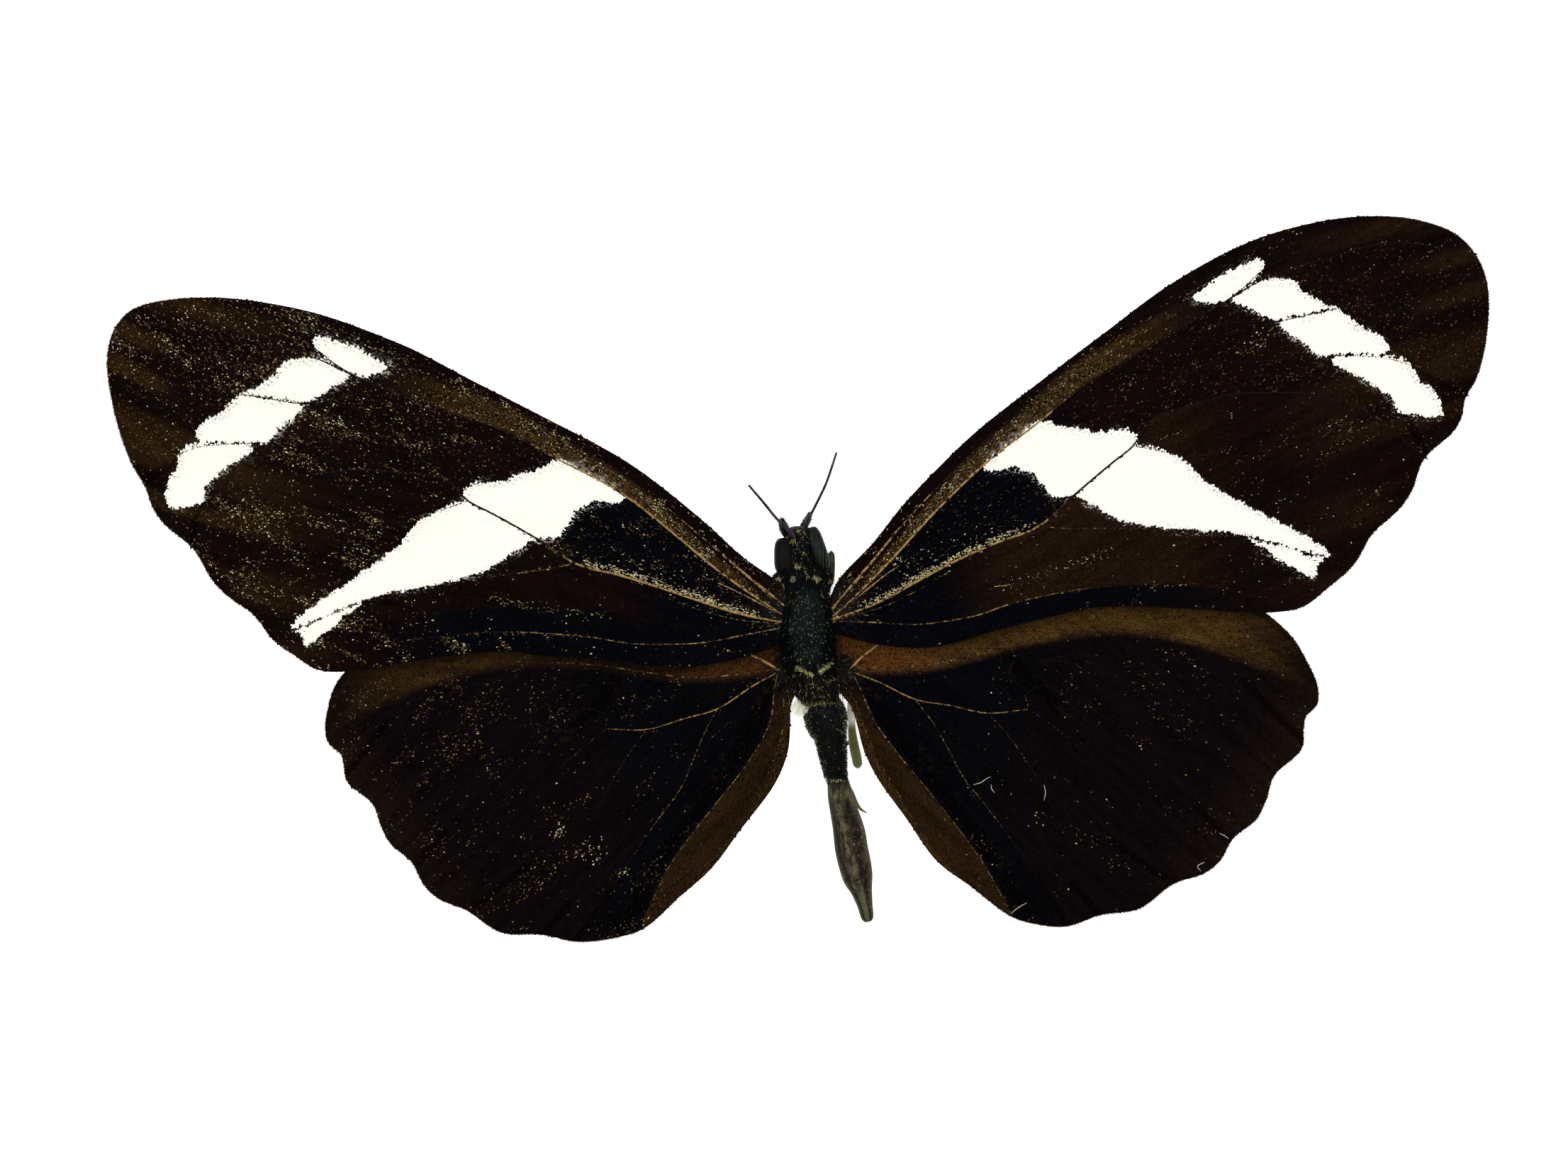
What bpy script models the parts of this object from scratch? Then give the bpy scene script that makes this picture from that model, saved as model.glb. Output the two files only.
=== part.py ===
"""A white-banded longwing butterfly, dried with its wings spread, at life size.

Lengths are in millimetres, and MM turns them into metres. The head points along +Y, the wings spread along X, and
the specimen rests on z = 0 on its feet and on the tip of the abdomen. Until it is centred, places are measured from
the middle of the thorax. A wing is drawn once, for the right side, as x outwards and y forwards from its hinge. The
left wing mirrors it and is pulled to landmarks of its own, because a real pair is never set quite alike.
"""
import math

import bmesh
import bpy
import numpy as np
from mathutils import Matrix, Vector
from mathutils.geometry import delaunay_2d_cdt

MM = 0.001
GAP = 0.3

# Wings: thickness of the plate, extra at the root, and the veins raised on both faces
WING_THICKNESS = 0.5
ROOT_SWELLING = 0.15
ROOT_REACH = 2.0
VEIN_RISE = 0.18
VEIN_UNDER_RISE = 0.08
VEIN_STEP = 1.3
VEIN_FADE = 1.2
EDGE_STEP = 0.85
FILL_STEP = 2.1

# Each row is x, y on the right wing, then x, y of the same landmark on the left wing
FOREWING = {
    "hinges": {"right": (1.55, 1.26), "left": (-1.15, 0.97)},
    "level": 4.9,
    "rise": math.radians(3.0),
    "edge": [
        (-0.2, 0.6), (1.8, 2.9), (3.3, 4.8), (5.2, 6.8), (7.1, 8.6), (10.3, 11.1), (13.6, 13.6), (17.0, 16.1),
        (20.7, 18.1), (23.5, 19.0), (26.4, 19.45), (29.1, 19.3), (31.2, 18.6), (32.3, 17.5), (32.9, 16.0),
        (32.9, 13.5), (32.4, 11.3), (31.8, 10.2), (31.6, 9.2), (31.2, 8.5), (29.7, 7.1), (29.1, 5.5), (28.4, 4.5),
        (27.1, 3.3), (26.2, 1.8), (24.9, 0.6), (23.6, -0.4), (21.7, -0.7), (17.8, -0.5), (14.8, -0.4), (12.6, -0.5),
        (10.9, -0.9), (9.2, -1.3), (7.4, -1.8), (5.7, -2.3), (4.3, -2.5), (2.6, -2.4), (1.4, -2.2), (-0.5, -1.4)],
    "veins": {
        "radius": (0.36, [(0.4, -0.4), (2.7, 2.0), (4.8, 4.3), (7.6, 7.0), (10.2, 9.0), (12.4, 10.8), (14.6, 12.1),
                          (16.9, 13.5), (19.8, 15.2), (21.7, 16.3), (25.1, 17.4), (28.0, 18.1), (32.2, 17.6)]),
        "cubitus": (0.34, [(0.9, -0.9), (2.2, -0.1), (4.2, 1.0), (5.9, 1.9), (7.9, 2.8), (10.2, 3.7), (11.9, 5.2),
                           (13.9, 6.9), (15.0, 7.8), (15.8, 9.0), (16.4, 9.4), (17.8, 9.8), (20.0, 10.4),
                           (22.2, 10.5), (24.2, 10.4), (26.4, 9.7), (29.7, 7.1)]),
        "subcosta": (0.28, [(1.4, 1.5), (4.2, 4.8), (6.6, 7.2), (9.3, 9.5), (12.5, 12.0), (15.7, 14.3), (19.9, 17.0)]),
        "second_anal": (0.28, [(0.4, -1.1), (1.9, -1.2), (4.0, -1.3), (5.7, -1.1), (7.2, -0.8), (8.6, -0.3),
                               (10.2, 0.1), (12.4, 0.5), (14.6, 0.7), (18.6, 0.6), (23.0, -0.2)]),
        "cubitus_2": (0.28, [(10.6, 3.65), (13.9, 3.6), (17.1, 3.5), (20.0, 3.3), (22.8, 2.6), (26.0, 1.6)]),
        "cubitus_1": (0.28, [(15.4, 7.7), (17.1, 7.4), (19.1, 7.0), (22.2, 5.6), (25.2, 4.5), (27.1, 3.3)]),
        "radius_fork": (0.26, [(20.2, 15.6), (21.7, 16.9), (24.0, 17.9), (26.6, 18.8), (29.1, 18.9)]),
        "media_1": (0.26, [(20.1, 14.1), (22.2, 14.1), (25.1, 14.7), (28.7, 15.1), (32.6, 15.1)]),
        "media_2": (0.26, [(18.6, 11.9), (21.5, 12.1), (26.4, 12.3), (28.7, 12.0), (31.8, 10.4)])},
    "pins": [
        (0.0, 0.0, 0.0, 0.0), (10.2, 3.7, 10.7, 2.1), (17.9, 15.2, 20.1, 12.0), (27.7, 12.5, 29.7, 8.3),
        (3.3, 4.8, 4.0, 4.1), (10.3, 11.1, 12.0, 9.4), (17.0, 16.1, 19.4, 13.2), (23.5, 19.0, 26.0, 15.3),
        (29.1, 19.3, 31.2, 15.5), (32.9, 15.0, 34.3, 11.6), (31.8, 10.3, 32.5, 6.1), (27.1, 3.3, 27.0, -0.5),
        (23.6, -0.4, 23.8, -3.3), (10.9, -0.8, 12.5, -2.5), (1.4, -2.2, 1.2, -2.4)],
    # The leading strip bends down in front of the wing's long axis
    "bend": {"through": (0.0, 0.0), "towards": (24.0, 12.8), "side": 1, "drop": 0.012},
}
HINDWING = {
    "hinges": {"right": (1.80, -1.98), "left": (-1.26, -1.98)},
    "level": 3.80,
    "rise": math.radians(2.0),
    "edge": [
        (-0.7, 0.9), (1.8, 1.7), (5.4, 2.4), (9.4, 3.5), (13.3, 4.0), (16.9, 3.9), (19.8, 3.4), (21.6, 2.5),
        (22.9, 1.3), (23.7, 0.0), (24.2, -1.2), (24.2, -2.1), (23.6, -2.8), (23.5, -3.4), (23.4, -4.4),
        (22.0, -5.8), (21.6, -7.0), (21.1, -8.0), (19.9, -9.0), (19.2, -10.2), (18.4, -10.8), (16.9, -11.3),
        (15.1, -12.6), (13.2, -12.9), (11.4, -13.5), (9.9, -13.4), (8.6, -13.0), (6.7, -11.6), (4.8, -10.2),
        (3.3, -8.1), (1.8, -6.0), (1.1, -4.6), (0.5, -3.2), (-0.4, -1.6), (-0.9, -0.4)],
    "veins": {
        "subcosta": (0.30, [(0.8, -0.35), (2.0, -0.3), (4.6, -0.1), (6.7, 0.4), (8.9, 1.0), (11.5, 1.5), (14.1, 1.7),
                            (16.6, 1.4), (19.2, 0.7), (22.7, -0.8), (24.1, -1.5)]),
        "cubitus": (0.32, [(0.9, -0.9), (1.8, -1.2), (3.7, -1.9), (5.4, -2.2), (7.4, -2.6), (9.5, -2.4), (11.3, -3.7),
                           (13.4, -5.5), (15.1, -7.7), (16.4, -11.0)]),
        "second_anal": (0.30, [(1.4, -2.5), (2.9, -4.8), (4.3, -6.5), (5.4, -7.9), (6.7, -9.6), (7.7, -11.2),
                               (8.6, -12.8)]),
        "cubitus_2": (0.28, [(4.0, -2.3), (4.6, -3.1), (5.3, -4.3), (6.1, -5.8), (7.2, -7.2), (8.4, -8.8),
                             (9.6, -10.5), (10.4, -11.9), (11.5, -13.3)]),
        "cubitus_1": (0.28, [(7.8, -3.0), (8.4, -3.7), (9.4, -5.1), (10.4, -6.8), (11.5, -9.2), (12.4, -11.2),
                             (13.1, -12.8)]),
        "media_2": (0.26, [(10.1, -0.2), (12.6, -1.8), (15.1, -4.1), (17.7, -6.7), (19.7, -9.0)]),
        "media_1": (0.26, [(11.4, 0.2), (14.1, -0.9), (16.9, -2.7), (19.5, -4.6), (21.6, -6.8)]),
        "radial_sector": (0.26, [(12.4, 0.5), (16.6, -0.5), (19.8, -1.8), (22.0, -3.1), (23.3, -4.1)]),
        "third_anal": (0.24, [(1.2, -3.6), (2.0, -5.3), (3.0, -7.0), (4.1, -8.8), (5.3, -10.0)])},
    "pins": [
        (0.0, 0.0, 0.0, 0.0), (3.7, -1.9, 3.4, -2.4), (9.4, -2.4, 9.0, -3.4), (21.6, 2.5, 22.1, -0.2),
        (24.2, -1.5, 23.3, -3.6), (19.7, -9.0, 18.8, -10.2), (16.4, -11.0, 15.7, -12.4), (11.5, -13.4, 10.6, -14.2),
        (8.6, -12.8, 7.3, -13.5), (4.8, -10.2, 3.7, -10.6), (1.8, -6.0, 0.4, -6.2), (0.5, -3.2, -0.6, -3.1)],
    # The inner margin folds down beside the abdomen, behind the second anal vein
    "bend": {"through": (0.9, -1.1), "towards": (8.6, -12.8), "side": -1, "drop": 0.25},
}

# Body: each row is x, y, z of the centre line, then half the width and half the height
HEAD = [(-0.30, 3.04, 3.86, 0.46, 0.72), (-0.33, 3.28, 3.88, 0.54, 1.00), (-0.37, 3.90, 3.90, 0.56, 1.08),
        (-0.42, 4.50, 3.84, 0.60, 0.94), (-0.44, 4.86, 3.76, 0.44, 0.60)]
PROTHORAX = [(-0.27, 2.68, 3.86, 0.66, 0.70), (-0.25, 2.44, 3.88, 1.24, 0.94), (-0.23, 2.14, 3.90, 1.22, 0.94)]
THORAX = [(-0.15, 1.80, 3.95, 0.82, 0.95), (-0.12, 1.45, 3.97, 1.14, 1.40), (-0.09, 0.70, 3.95, 1.34, 1.90),
          (-0.07, -0.30, 3.90, 1.38, 2.10), (-0.02, -1.30, 3.85, 1.32, 2.05), (0.14, -2.20, 3.70, 1.18, 1.82),
          (0.26, -2.55, 3.60, 1.16, 1.66), (0.40, -3.05, 3.48, 1.20, 1.56), (0.55, -3.50, 3.35, 1.06, 1.32),
          (0.64, -3.80, 3.27, 0.80, 0.96)]
ABDOMEN = [(0.78, -4.18, 3.24, 0.72, 0.85), (0.87, -4.50, 3.22, 0.95, 1.04), (0.98, -4.95, 3.16, 1.02, 1.10),
           (1.12, -5.62, 3.05, 0.87, 1.00), (1.31, -6.74, 2.80, 0.68, 0.86), (1.50, -7.93, 2.48, 0.60, 0.72),
           (1.71, -8.90, 2.20, 0.62, 0.68), (1.91, -9.80, 1.90, 0.66, 0.66), (2.16, -10.80, 1.50, 0.79, 0.64),
           (2.29, -11.60, 1.18, 0.81, 0.62), (2.46, -12.50, 0.84, 0.76, 0.60), (2.60, -13.30, 0.57, 0.68, 0.58),
           (2.76, -13.85, 0.44, 0.48, 0.48), (2.98, -14.60, 0.29, 0.31, 0.33), (3.12, -15.15, 0.19, 0.20, 0.22)]
BODY_SIDES = 20
BODY_STEP = 0.55
WRINKLE_DEPTH = 0.10
WRINKLES = 5
WRINKLED_FROM = -7.6

# Eyes: centre, half sizes, and the turn of the long axis about the vertical; squareness 2 would be an ellipsoid
EYES = {
    "left": ((-1.13, 3.50, 3.88), (0.57, 0.92, 0.95), 0.0),
    "right": ((0.47, 3.76, 3.88), (0.44, 0.98, 0.93), math.radians(15.0)),
}
EYE_SQUARENESS = 2.5

# Limbs: each row is x, y, z of the centre line and the radius
LIMB_SIDES = 8
LIMB_STEP = 0.42
LIMBS = {
    "foreleg_right": [(0.50, 2.36, 3.10, 0.26), (0.95, 2.05, 2.72, 0.25), (1.13, 2.45, 2.62, 0.25),
                      (1.12, 3.00, 2.62, 0.25), (1.08, 3.65, 2.72, 0.20)],
    "foreleg_left": [(-0.90, 2.36, 3.10, 0.26), (-1.22, 2.05, 2.70, 0.25), (-1.28, 2.50, 2.52, 0.25),
                     (-1.22, 3.00, 2.46, 0.25), (-1.10, 3.55, 2.45, 0.20)],
    "midleg_right": [(0.55, -0.20, 2.60, 0.34), (1.25, 0.05, 2.10, 0.33), (2.10, 0.80, 2.30, 0.30),
                     (2.75, 1.35, 2.35, 0.27), (3.20, 1.70, 1.70, 0.26), (3.75, 2.10, 0.55, 0.25),
                     (4.00, 2.60, 0.22, 0.25), (4.25, 3.60, 0.21, 0.24), (4.35, 4.30, 0.20, 0.21)],
    "midleg_left": [(-0.70, -0.20, 2.60, 0.34), (-1.40, 0.00, 2.10, 0.33), (-2.20, 0.60, 2.30, 0.30),
                    (-2.85, 1.00, 2.35, 0.27), (-3.30, 1.20, 1.70, 0.26), (-3.85, 1.45, 0.55, 0.25),
                    (-4.10, 1.90, 0.22, 0.25), (-4.35, 2.80, 0.21, 0.24), (-4.50, 3.50, 0.20, 0.21)],
    "hindleg_right": [(0.70, -2.25, 2.45, 0.34), (1.35, -2.75, 1.98, 0.33), (2.05, -3.60, 2.10, 0.28),
                      (2.28, -4.60, 2.00, 0.27), (2.36, -5.80, 1.50, 0.29), (2.42, -6.80, 0.95, 0.30),
                      (2.40, -7.30, 0.50, 0.27), (2.15, -7.85, 0.22, 0.25), (2.15, -8.50, 0.21, 0.24),
                      (2.42, -9.10, 0.20, 0.21), (2.68, -9.45, 0.20, 0.20)],
    "hindleg_left": [(-0.45, -2.25, 2.45, 0.34), (-1.15, -2.60, 1.95, 0.33), (-2.00, -3.05, 2.15, 0.29),
                     (-2.60, -3.50, 2.10, 0.27), (-2.95, -4.30, 1.40, 0.26), (-3.25, -5.30, 0.50, 0.25),
                     (-3.32, -5.90, 0.22, 0.25), (-3.45, -7.10, 0.21, 0.24), (-3.60, -8.20, 0.20, 0.21)],
    "antenna_left": [(-0.84, 4.50, 4.20, 0.26), (-1.00, 4.85, 4.75, 0.25), (-1.55, 5.35, 5.15, 0.25),
                     (-2.25, 6.15, 5.50, 0.22), (-3.02, 7.05, 5.80, 0.14)],
    "antenna_right": [(-0.30, 4.55, 4.20, 0.26), (-0.20, 4.98, 4.80, 0.25), (0.06, 5.55, 5.20, 0.25),
                      (0.52, 6.30, 5.60, 0.25), (0.90, 7.10, 5.90, 0.24), (1.20, 7.95, 6.10, 0.21),
                      (1.42, 8.65, 6.20, 0.14)],
    "palp_left": [(-0.72, 4.35, 3.25, 0.26), (-0.98, 4.75, 3.12, 0.28), (-1.20, 5.05, 3.42, 0.27),
                  (-1.32, 5.22, 3.85, 0.20), (-1.36, 5.30, 4.15, 0.12)],
    "palp_right": [(-0.42, 4.40, 3.25, 0.26), (-0.22, 4.95, 3.08, 0.28), (-0.03, 5.28, 3.42, 0.27),
                   (0.04, 5.48, 3.95, 0.20), (0.05, 5.58, 4.30, 0.12)],
}
LIMB_ROOTS = {"foreleg": "prothorax", "midleg": "thorax", "hindleg": "thorax", "antenna": "head", "palp": "head"}

# Proboscis: a stub out of the mouth and one open turn of a coil that narrows inwards
COIL_CENTRE = (-0.45, 4.20, 1.75)
COIL_RADII = (0.65, 0.32)
COIL_TURN = math.radians(300)
COIL_STEPS = 14
MOUTH = (-0.45, 3.62, 2.95)
PROBOSCIS_RADII = (0.25, 0.16)

COLOURS = {
    "brown_black_scales": (0.020, 0.011, 0.008, 1.0),
    "blue_black_scales": (0.008, 0.016, 0.024, 1.0),
    "dark_green_hair": (0.016, 0.026, 0.024, 1.0),
    "dry_abdomen": (0.075, 0.070, 0.055, 1.0),
    "olive_eye": (0.110, 0.115, 0.085, 1.0),
    "dull_chitin": (0.060, 0.050, 0.032, 1.0),
}
ROUGHNESS = {"olive_eye": 0.25, "dull_chitin": 0.45}
SHEATHS = {"forewing": "brown_black_scales", "hindwing": "blue_black_scales", "abdomen": "dry_abdomen",
           "eye": "olive_eye", "midleg": "dull_chitin", "hindleg": "dull_chitin", "antenna": "dull_chitin",
           "proboscis": "dull_chitin"}


def smooth_path(points, step, closed=False):
    """Points about a step apart on a curve through the given ones; only the first places count as distance."""
    knots = np.array(points, dtype=float)
    places = min(knots.shape[1], 3)
    ring = np.vstack([knots[-1], knots, knots[0], knots[1]]) if closed else np.vstack(
        [2 * knots[0] - knots[1], knots, 2 * knots[-1] - knots[-2]])
    curve = []
    for a, b, c, d in zip(ring, ring[1:], ring[2:], ring[3:]):
        lengths = [math.sqrt(np.linalg.norm((q - p)[:places])) for p, q in ((a, b), (b, c), (c, d))]
        t1, t2, t3 = np.cumsum(lengths)
        for t in np.linspace(t1, t2, 24, endpoint=False):
            ab = a + (b - a) * t / t1
            bc = b + (c - b) * (t - t1) / (t2 - t1)
            cd = c + (d - c) * (t - t2) / (t3 - t2)
            abc = ab + (bc - ab) * t / t2
            bcd = bc + (cd - bc) * (t - t1) / (t3 - t1)
            curve.append(abc + (bcd - abc) * (t - t1) / (t2 - t1))
    curve.append(knots[0] if closed else knots[-1])
    curve = np.array(curve)
    along = np.r_[0, np.cumsum(np.linalg.norm(np.diff(curve[:, :places], axis=0), axis=1))]
    count = max(2, round(along[-1] / step)) + (0 if closed else 1)
    stops = np.linspace(0, along[-1], count, endpoint=not closed)
    return np.stack([np.interp(stops, along, column) for column in curve.T], axis=1)


def distances(points, others):
    """Each point's distance to the nearest of the others."""
    gaps = np.linalg.norm(np.asarray(points)[:, None, :] - np.asarray(others)[None, :, :], axis=2)
    return gaps.min(axis=1)


def inside(point, polygon):
    """Whether a flat point lies inside a closed outline."""
    x, y = point
    ahead = np.roll(polygon, -1, axis=0)
    straddles = (polygon[:, 1] > y) != (ahead[:, 1] > y)
    crossing = polygon[:, 0] + (y - polygon[:, 1]) * (ahead[:, 0] - polygon[:, 0]) / (
        np.where(straddles, ahead[:, 1] - polygon[:, 1], 1.0))
    return np.count_nonzero(straddles & (crossing > x)) % 2 == 1


def landmark_warp(pins):
    """A smooth bend of the plane that carries each right-wing landmark to its place on the left wing."""
    pins = np.array(pins)
    source, target = pins[:, :2], pins[:, 2:]

    def basis(points):
        reach = np.linalg.norm(points[:, None, :] - source[None, :, :], axis=2)
        bends = reach ** 2 * np.log(np.maximum(reach, 1e-9))
        return np.hstack([bends, np.ones((len(points), 1)), points])

    count = len(pins)
    system = np.zeros((count + 3, count + 3))
    system[:count] = basis(source)
    system[count:, :count] = system[:count, count:].T
    weights = np.linalg.solve(system, np.vstack([target, np.zeros((3, 2))]))
    return lambda points: basis(np.asarray(points, dtype=float)) @ weights


def sheath(name):
    """The material of a piece, from the first word of its name."""
    look = SHEATHS.get(name.split("_")[0], "dark_green_hair")
    material = bpy.data.materials.get(look)
    if material is None:
        material = bpy.data.materials.new(look)
        material.use_nodes = True
        shader = material.node_tree.nodes["Principled BSDF"]
        shader.inputs["Base Color"].default_value = COLOURS[look]
        shader.inputs["Roughness"].default_value = ROUGHNESS.get(look, 0.7)
        shader.inputs["Metallic"].default_value = 0.0
        material.diffuse_color = COLOURS[look]
    return material


def finish(name, bm, specimen):
    """Turn a mesh drawn in millimetres into a named object that hangs on the specimen's empty."""
    bmesh.ops.scale(bm, vec=(MM, MM, MM), verts=bm.verts)
    bmesh.ops.recalc_face_normals(bm, faces=bm.faces)
    mesh = bpy.data.meshes.new(name)
    bm.to_mesh(mesh)
    bm.free()
    mesh.shade_smooth()
    mesh.set_sharp_from_angle(angle=math.radians(40))
    piece = bpy.data.objects.new(name, mesh)
    piece.data.materials.append(sheath(name))
    bpy.context.collection.objects.link(piece)
    piece.parent = specimen
    return piece


def cutter(name, bm, specimen):
    """A hidden shape that trims its neighbours."""
    guide = finish(name, bm, specimen)
    guide.hide_render = True
    guide.display_type = "WIRE"
    return guide


def trim(piece, *guides):
    """Cut a piece clear of its neighbours."""
    for guide in guides:
        cut = piece.modifiers.new("trim_" + guide.name, "BOOLEAN")
        cut.operation = "DIFFERENCE"
        cut.solver = "EXACT"
        cut.object = guide


def skin(rows, sides, fold=None, on_floor=False, sideways=None):
    """A closed tube through rows of centre, half width and half height, square to its own centre line."""
    rows = np.asarray(rows)
    centres = [Vector(row[:3]) for row in rows]
    bm = bmesh.new()
    bmesh.ops.create_circle(bm, cap_ends=True, segments=sides, radius=1.0)
    rim = [edge for edge in bm.edges]
    for level in range(1, len(rows)):
        grown = bmesh.ops.extrude_edge_only(bm, edges=rim)["geom"]
        rim = [part for part in grown if isinstance(part, bmesh.types.BMEdge)]
        bmesh.ops.translate(bm, vec=(0, 0, 1), verts=[part for part in grown if isinstance(part, bmesh.types.BMVert)])
    bmesh.ops.contextual_create(bm, geom=rim)
    for vert in bm.verts:
        level = round(vert.co.z)
        angle = math.atan2(vert.co.y, vert.co.x)
        ahead = centres[min(level + 1, len(centres) - 1)] - centres[max(level - 1, 0)]
        ahead.normalize()
        across = Vector(sideways) if sideways else ahead.cross(Vector((0, 0, 1))).normalized()
        up = across.cross(ahead)
        swell = fold(centres[level], angle) if fold else 1.0
        vert.co = centres[level] + across * (rows[level][3] * swell * math.cos(angle)) + up * (
            rows[level][4] * swell * math.sin(angle))
        if on_floor:
            vert.co.z = max(vert.co.z, 0.0)
    return bm


def grown(rows, amount):
    """The same rows with their skin moved outwards all over."""
    rows = [list(row) for row in rows]
    for row in rows:
        row[3] += amount
        row[4] += amount
    for end, neighbour in ((0, 1), (-1, -2)):
        outward = np.array(rows[end][:3]) - np.array(rows[neighbour][:3])
        place = np.array(rows[end][:3]) + outward / np.linalg.norm(outward) * amount
        rows.insert(0 if end == 0 else len(rows), [*place, rows[end][3], rows[end][4]])
    return rows


def wrinkle(centre, angle):
    """Lengthwise folds of the dried hind part of the abdomen."""
    if centre.y > WRINKLED_FROM:
        return 1.0
    fade = min(1.0, (WRINKLED_FROM - centre.y) / 2.0)
    return 1.0 - WRINKLE_DEPTH * fade * (0.5 + 0.5 * math.cos(WRINKLES * angle + 0.3 * centre.y))


def build_body(specimen):
    """Head, prothorax, thorax and abdomen, and a grown copy of each that trims what meets it."""
    guides = {}
    for name, rows in (("head", HEAD), ("prothorax", PROTHORAX), ("thorax", THORAX), ("abdomen", ABDOMEN)):
        shriveled = wrinkle if name == "abdomen" else None
        step = BODY_STEP if name in ("thorax", "abdomen") else BODY_STEP / 2
        finish(name, skin(smooth_path(rows, step), BODY_SIDES, fold=shriveled, on_floor=True), specimen)
        guides[name] = cutter("around_" + name, skin(smooth_path(grown(rows, GAP), BODY_STEP), BODY_SIDES), specimen)
    return guides


def build_eyes(specimen, guides):
    """Two bulging eyes, set close against the sides of the head."""
    for side, (centre, half_size, turn) in EYES.items():
        bm = bmesh.new()
        bmesh.ops.create_uvsphere(bm, u_segments=24, v_segments=14, radius=1.0)
        for vert in bm.verts:
            vert.co /= sum(abs(part) ** EYE_SQUARENESS for part in vert.co) ** (1.0 / EYE_SQUARENESS)
        placed = Matrix.Translation(centre) @ Matrix.Rotation(turn, 4, "Z") @ Matrix.Diagonal((*half_size, 1.0))
        bmesh.ops.transform(bm, matrix=placed, verts=bm.verts)
        trim(finish("eye_" + side, bm, specimen), guides["head"], guides["prothorax"])


def build_limbs(specimen, guides):
    """Legs, feelers and palps: tapered tubes that start inside what carries them and are trimmed to meet it."""
    for name, rows in LIMBS.items():
        root = LIMB_ROOTS[name.split("_")[0]]
        path = smooth_path([(*row, row[3]) for row in rows], LIMB_STEP)
        trim(finish(name, skin(path, LIMB_SIDES, on_floor=True), specimen), guides[root])


def build_proboscis(specimen, guides):
    """The sucking tube, let down from the mouth and curled up beneath the head."""
    x, y, z = COIL_CENTRE
    rows = [(*MOUTH, PROBOSCIS_RADII[0]), (x, y - COIL_RADII[0], (MOUTH[2] + z) / 2, PROBOSCIS_RADII[0])]
    for step in range(COIL_STEPS + 1):
        share = step / COIL_STEPS
        reach = COIL_RADII[0] + (COIL_RADII[1] - COIL_RADII[0]) * share
        turn = math.pi + COIL_TURN * share
        thick = PROBOSCIS_RADII[0] + (PROBOSCIS_RADII[1] - PROBOSCIS_RADII[0]) * share
        rows.append((x, y + reach * math.cos(turn), z + reach * math.sin(turn), thick))
    coil = skin([(*row, row[3]) for row in rows], LIMB_SIDES, sideways=(1, 0, 0))
    trim(finish("proboscis", coil, specimen), guides["head"])


def middle_height(wing, points):
    """Height of a wing's middle surface: it rises outwards and bends down along one strip."""
    bend = wing["bend"]
    start = np.array(bend["through"])
    along = np.array(bend["towards"]) - start
    along /= np.linalg.norm(along)
    beyond = bend["side"] * ((points - start) @ np.array((-along[1], along[0])))
    return wing["level"] + math.tan(wing["rise"]) * points[:, 0] - bend["drop"] * np.maximum(beyond, 0) ** 2


def vein_lift(wing, points, edge):
    """How far each point stands on a vein's ridge, from 0 beside the veins to 1 on a crest."""
    lift = np.zeros(len(points))
    for half_width, route in wing["veins"].values():
        near = distances(points, smooth_path(route, 0.08))
        lift = np.maximum(lift, 1.0 - near / half_width)
    return lift * np.clip(distances(points, smooth_path(edge, 0.08, closed=True)) / VEIN_FADE, 0.0, 1.0)


def wing_plan(wing):
    """The flat triangulation of a wing: its outline, the crest and feet of every vein, and loose points between."""
    edge = smooth_path(wing["edge"], EDGE_STEP, closed=True)
    placed = [tuple(point) for point in edge]
    links = []

    def add_line(line, clearance):
        previous = None
        for point in line:
            free = inside(point, edge) and distances([point], placed)[0] > clearance
            if free:
                placed.append(tuple(point))
                if previous is not None:
                    links.append((previous, len(placed) - 1))
            previous = len(placed) - 1 if free else None

    crests = [(half_width, smooth_path(route, VEIN_STEP)) for half_width, route in wing["veins"].values()]
    for half_width, crest in crests:
        add_line(crest, 0.42)
    for half_width, crest in crests:
        ahead = np.gradient(crest, axis=0)
        ahead /= np.linalg.norm(ahead, axis=1, keepdims=True)
        for side in (1, -1):
            add_line(crest + side * half_width * np.stack([-ahead[:, 1], ahead[:, 0]], axis=1), 0.22)
    low, high = edge.min(axis=0), edge.max(axis=0)
    for row, y in enumerate(np.arange(low[1], high[1], FILL_STEP * math.sqrt(0.75))):
        for x in np.arange(low[0] + (row % 2) * FILL_STEP / 2, high[0], FILL_STEP):
            if inside((x, y), edge) and distances([(x, y)], placed)[0] > 0.45 * FILL_STEP:
                placed.append((x, y))
    plan = delaunay_2d_cdt([Vector(point) for point in placed], links, [list(range(len(edge)))], 1, 1e-4)
    return np.array([tuple(point) for point in plan[0]]), plan[2], edge


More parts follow.
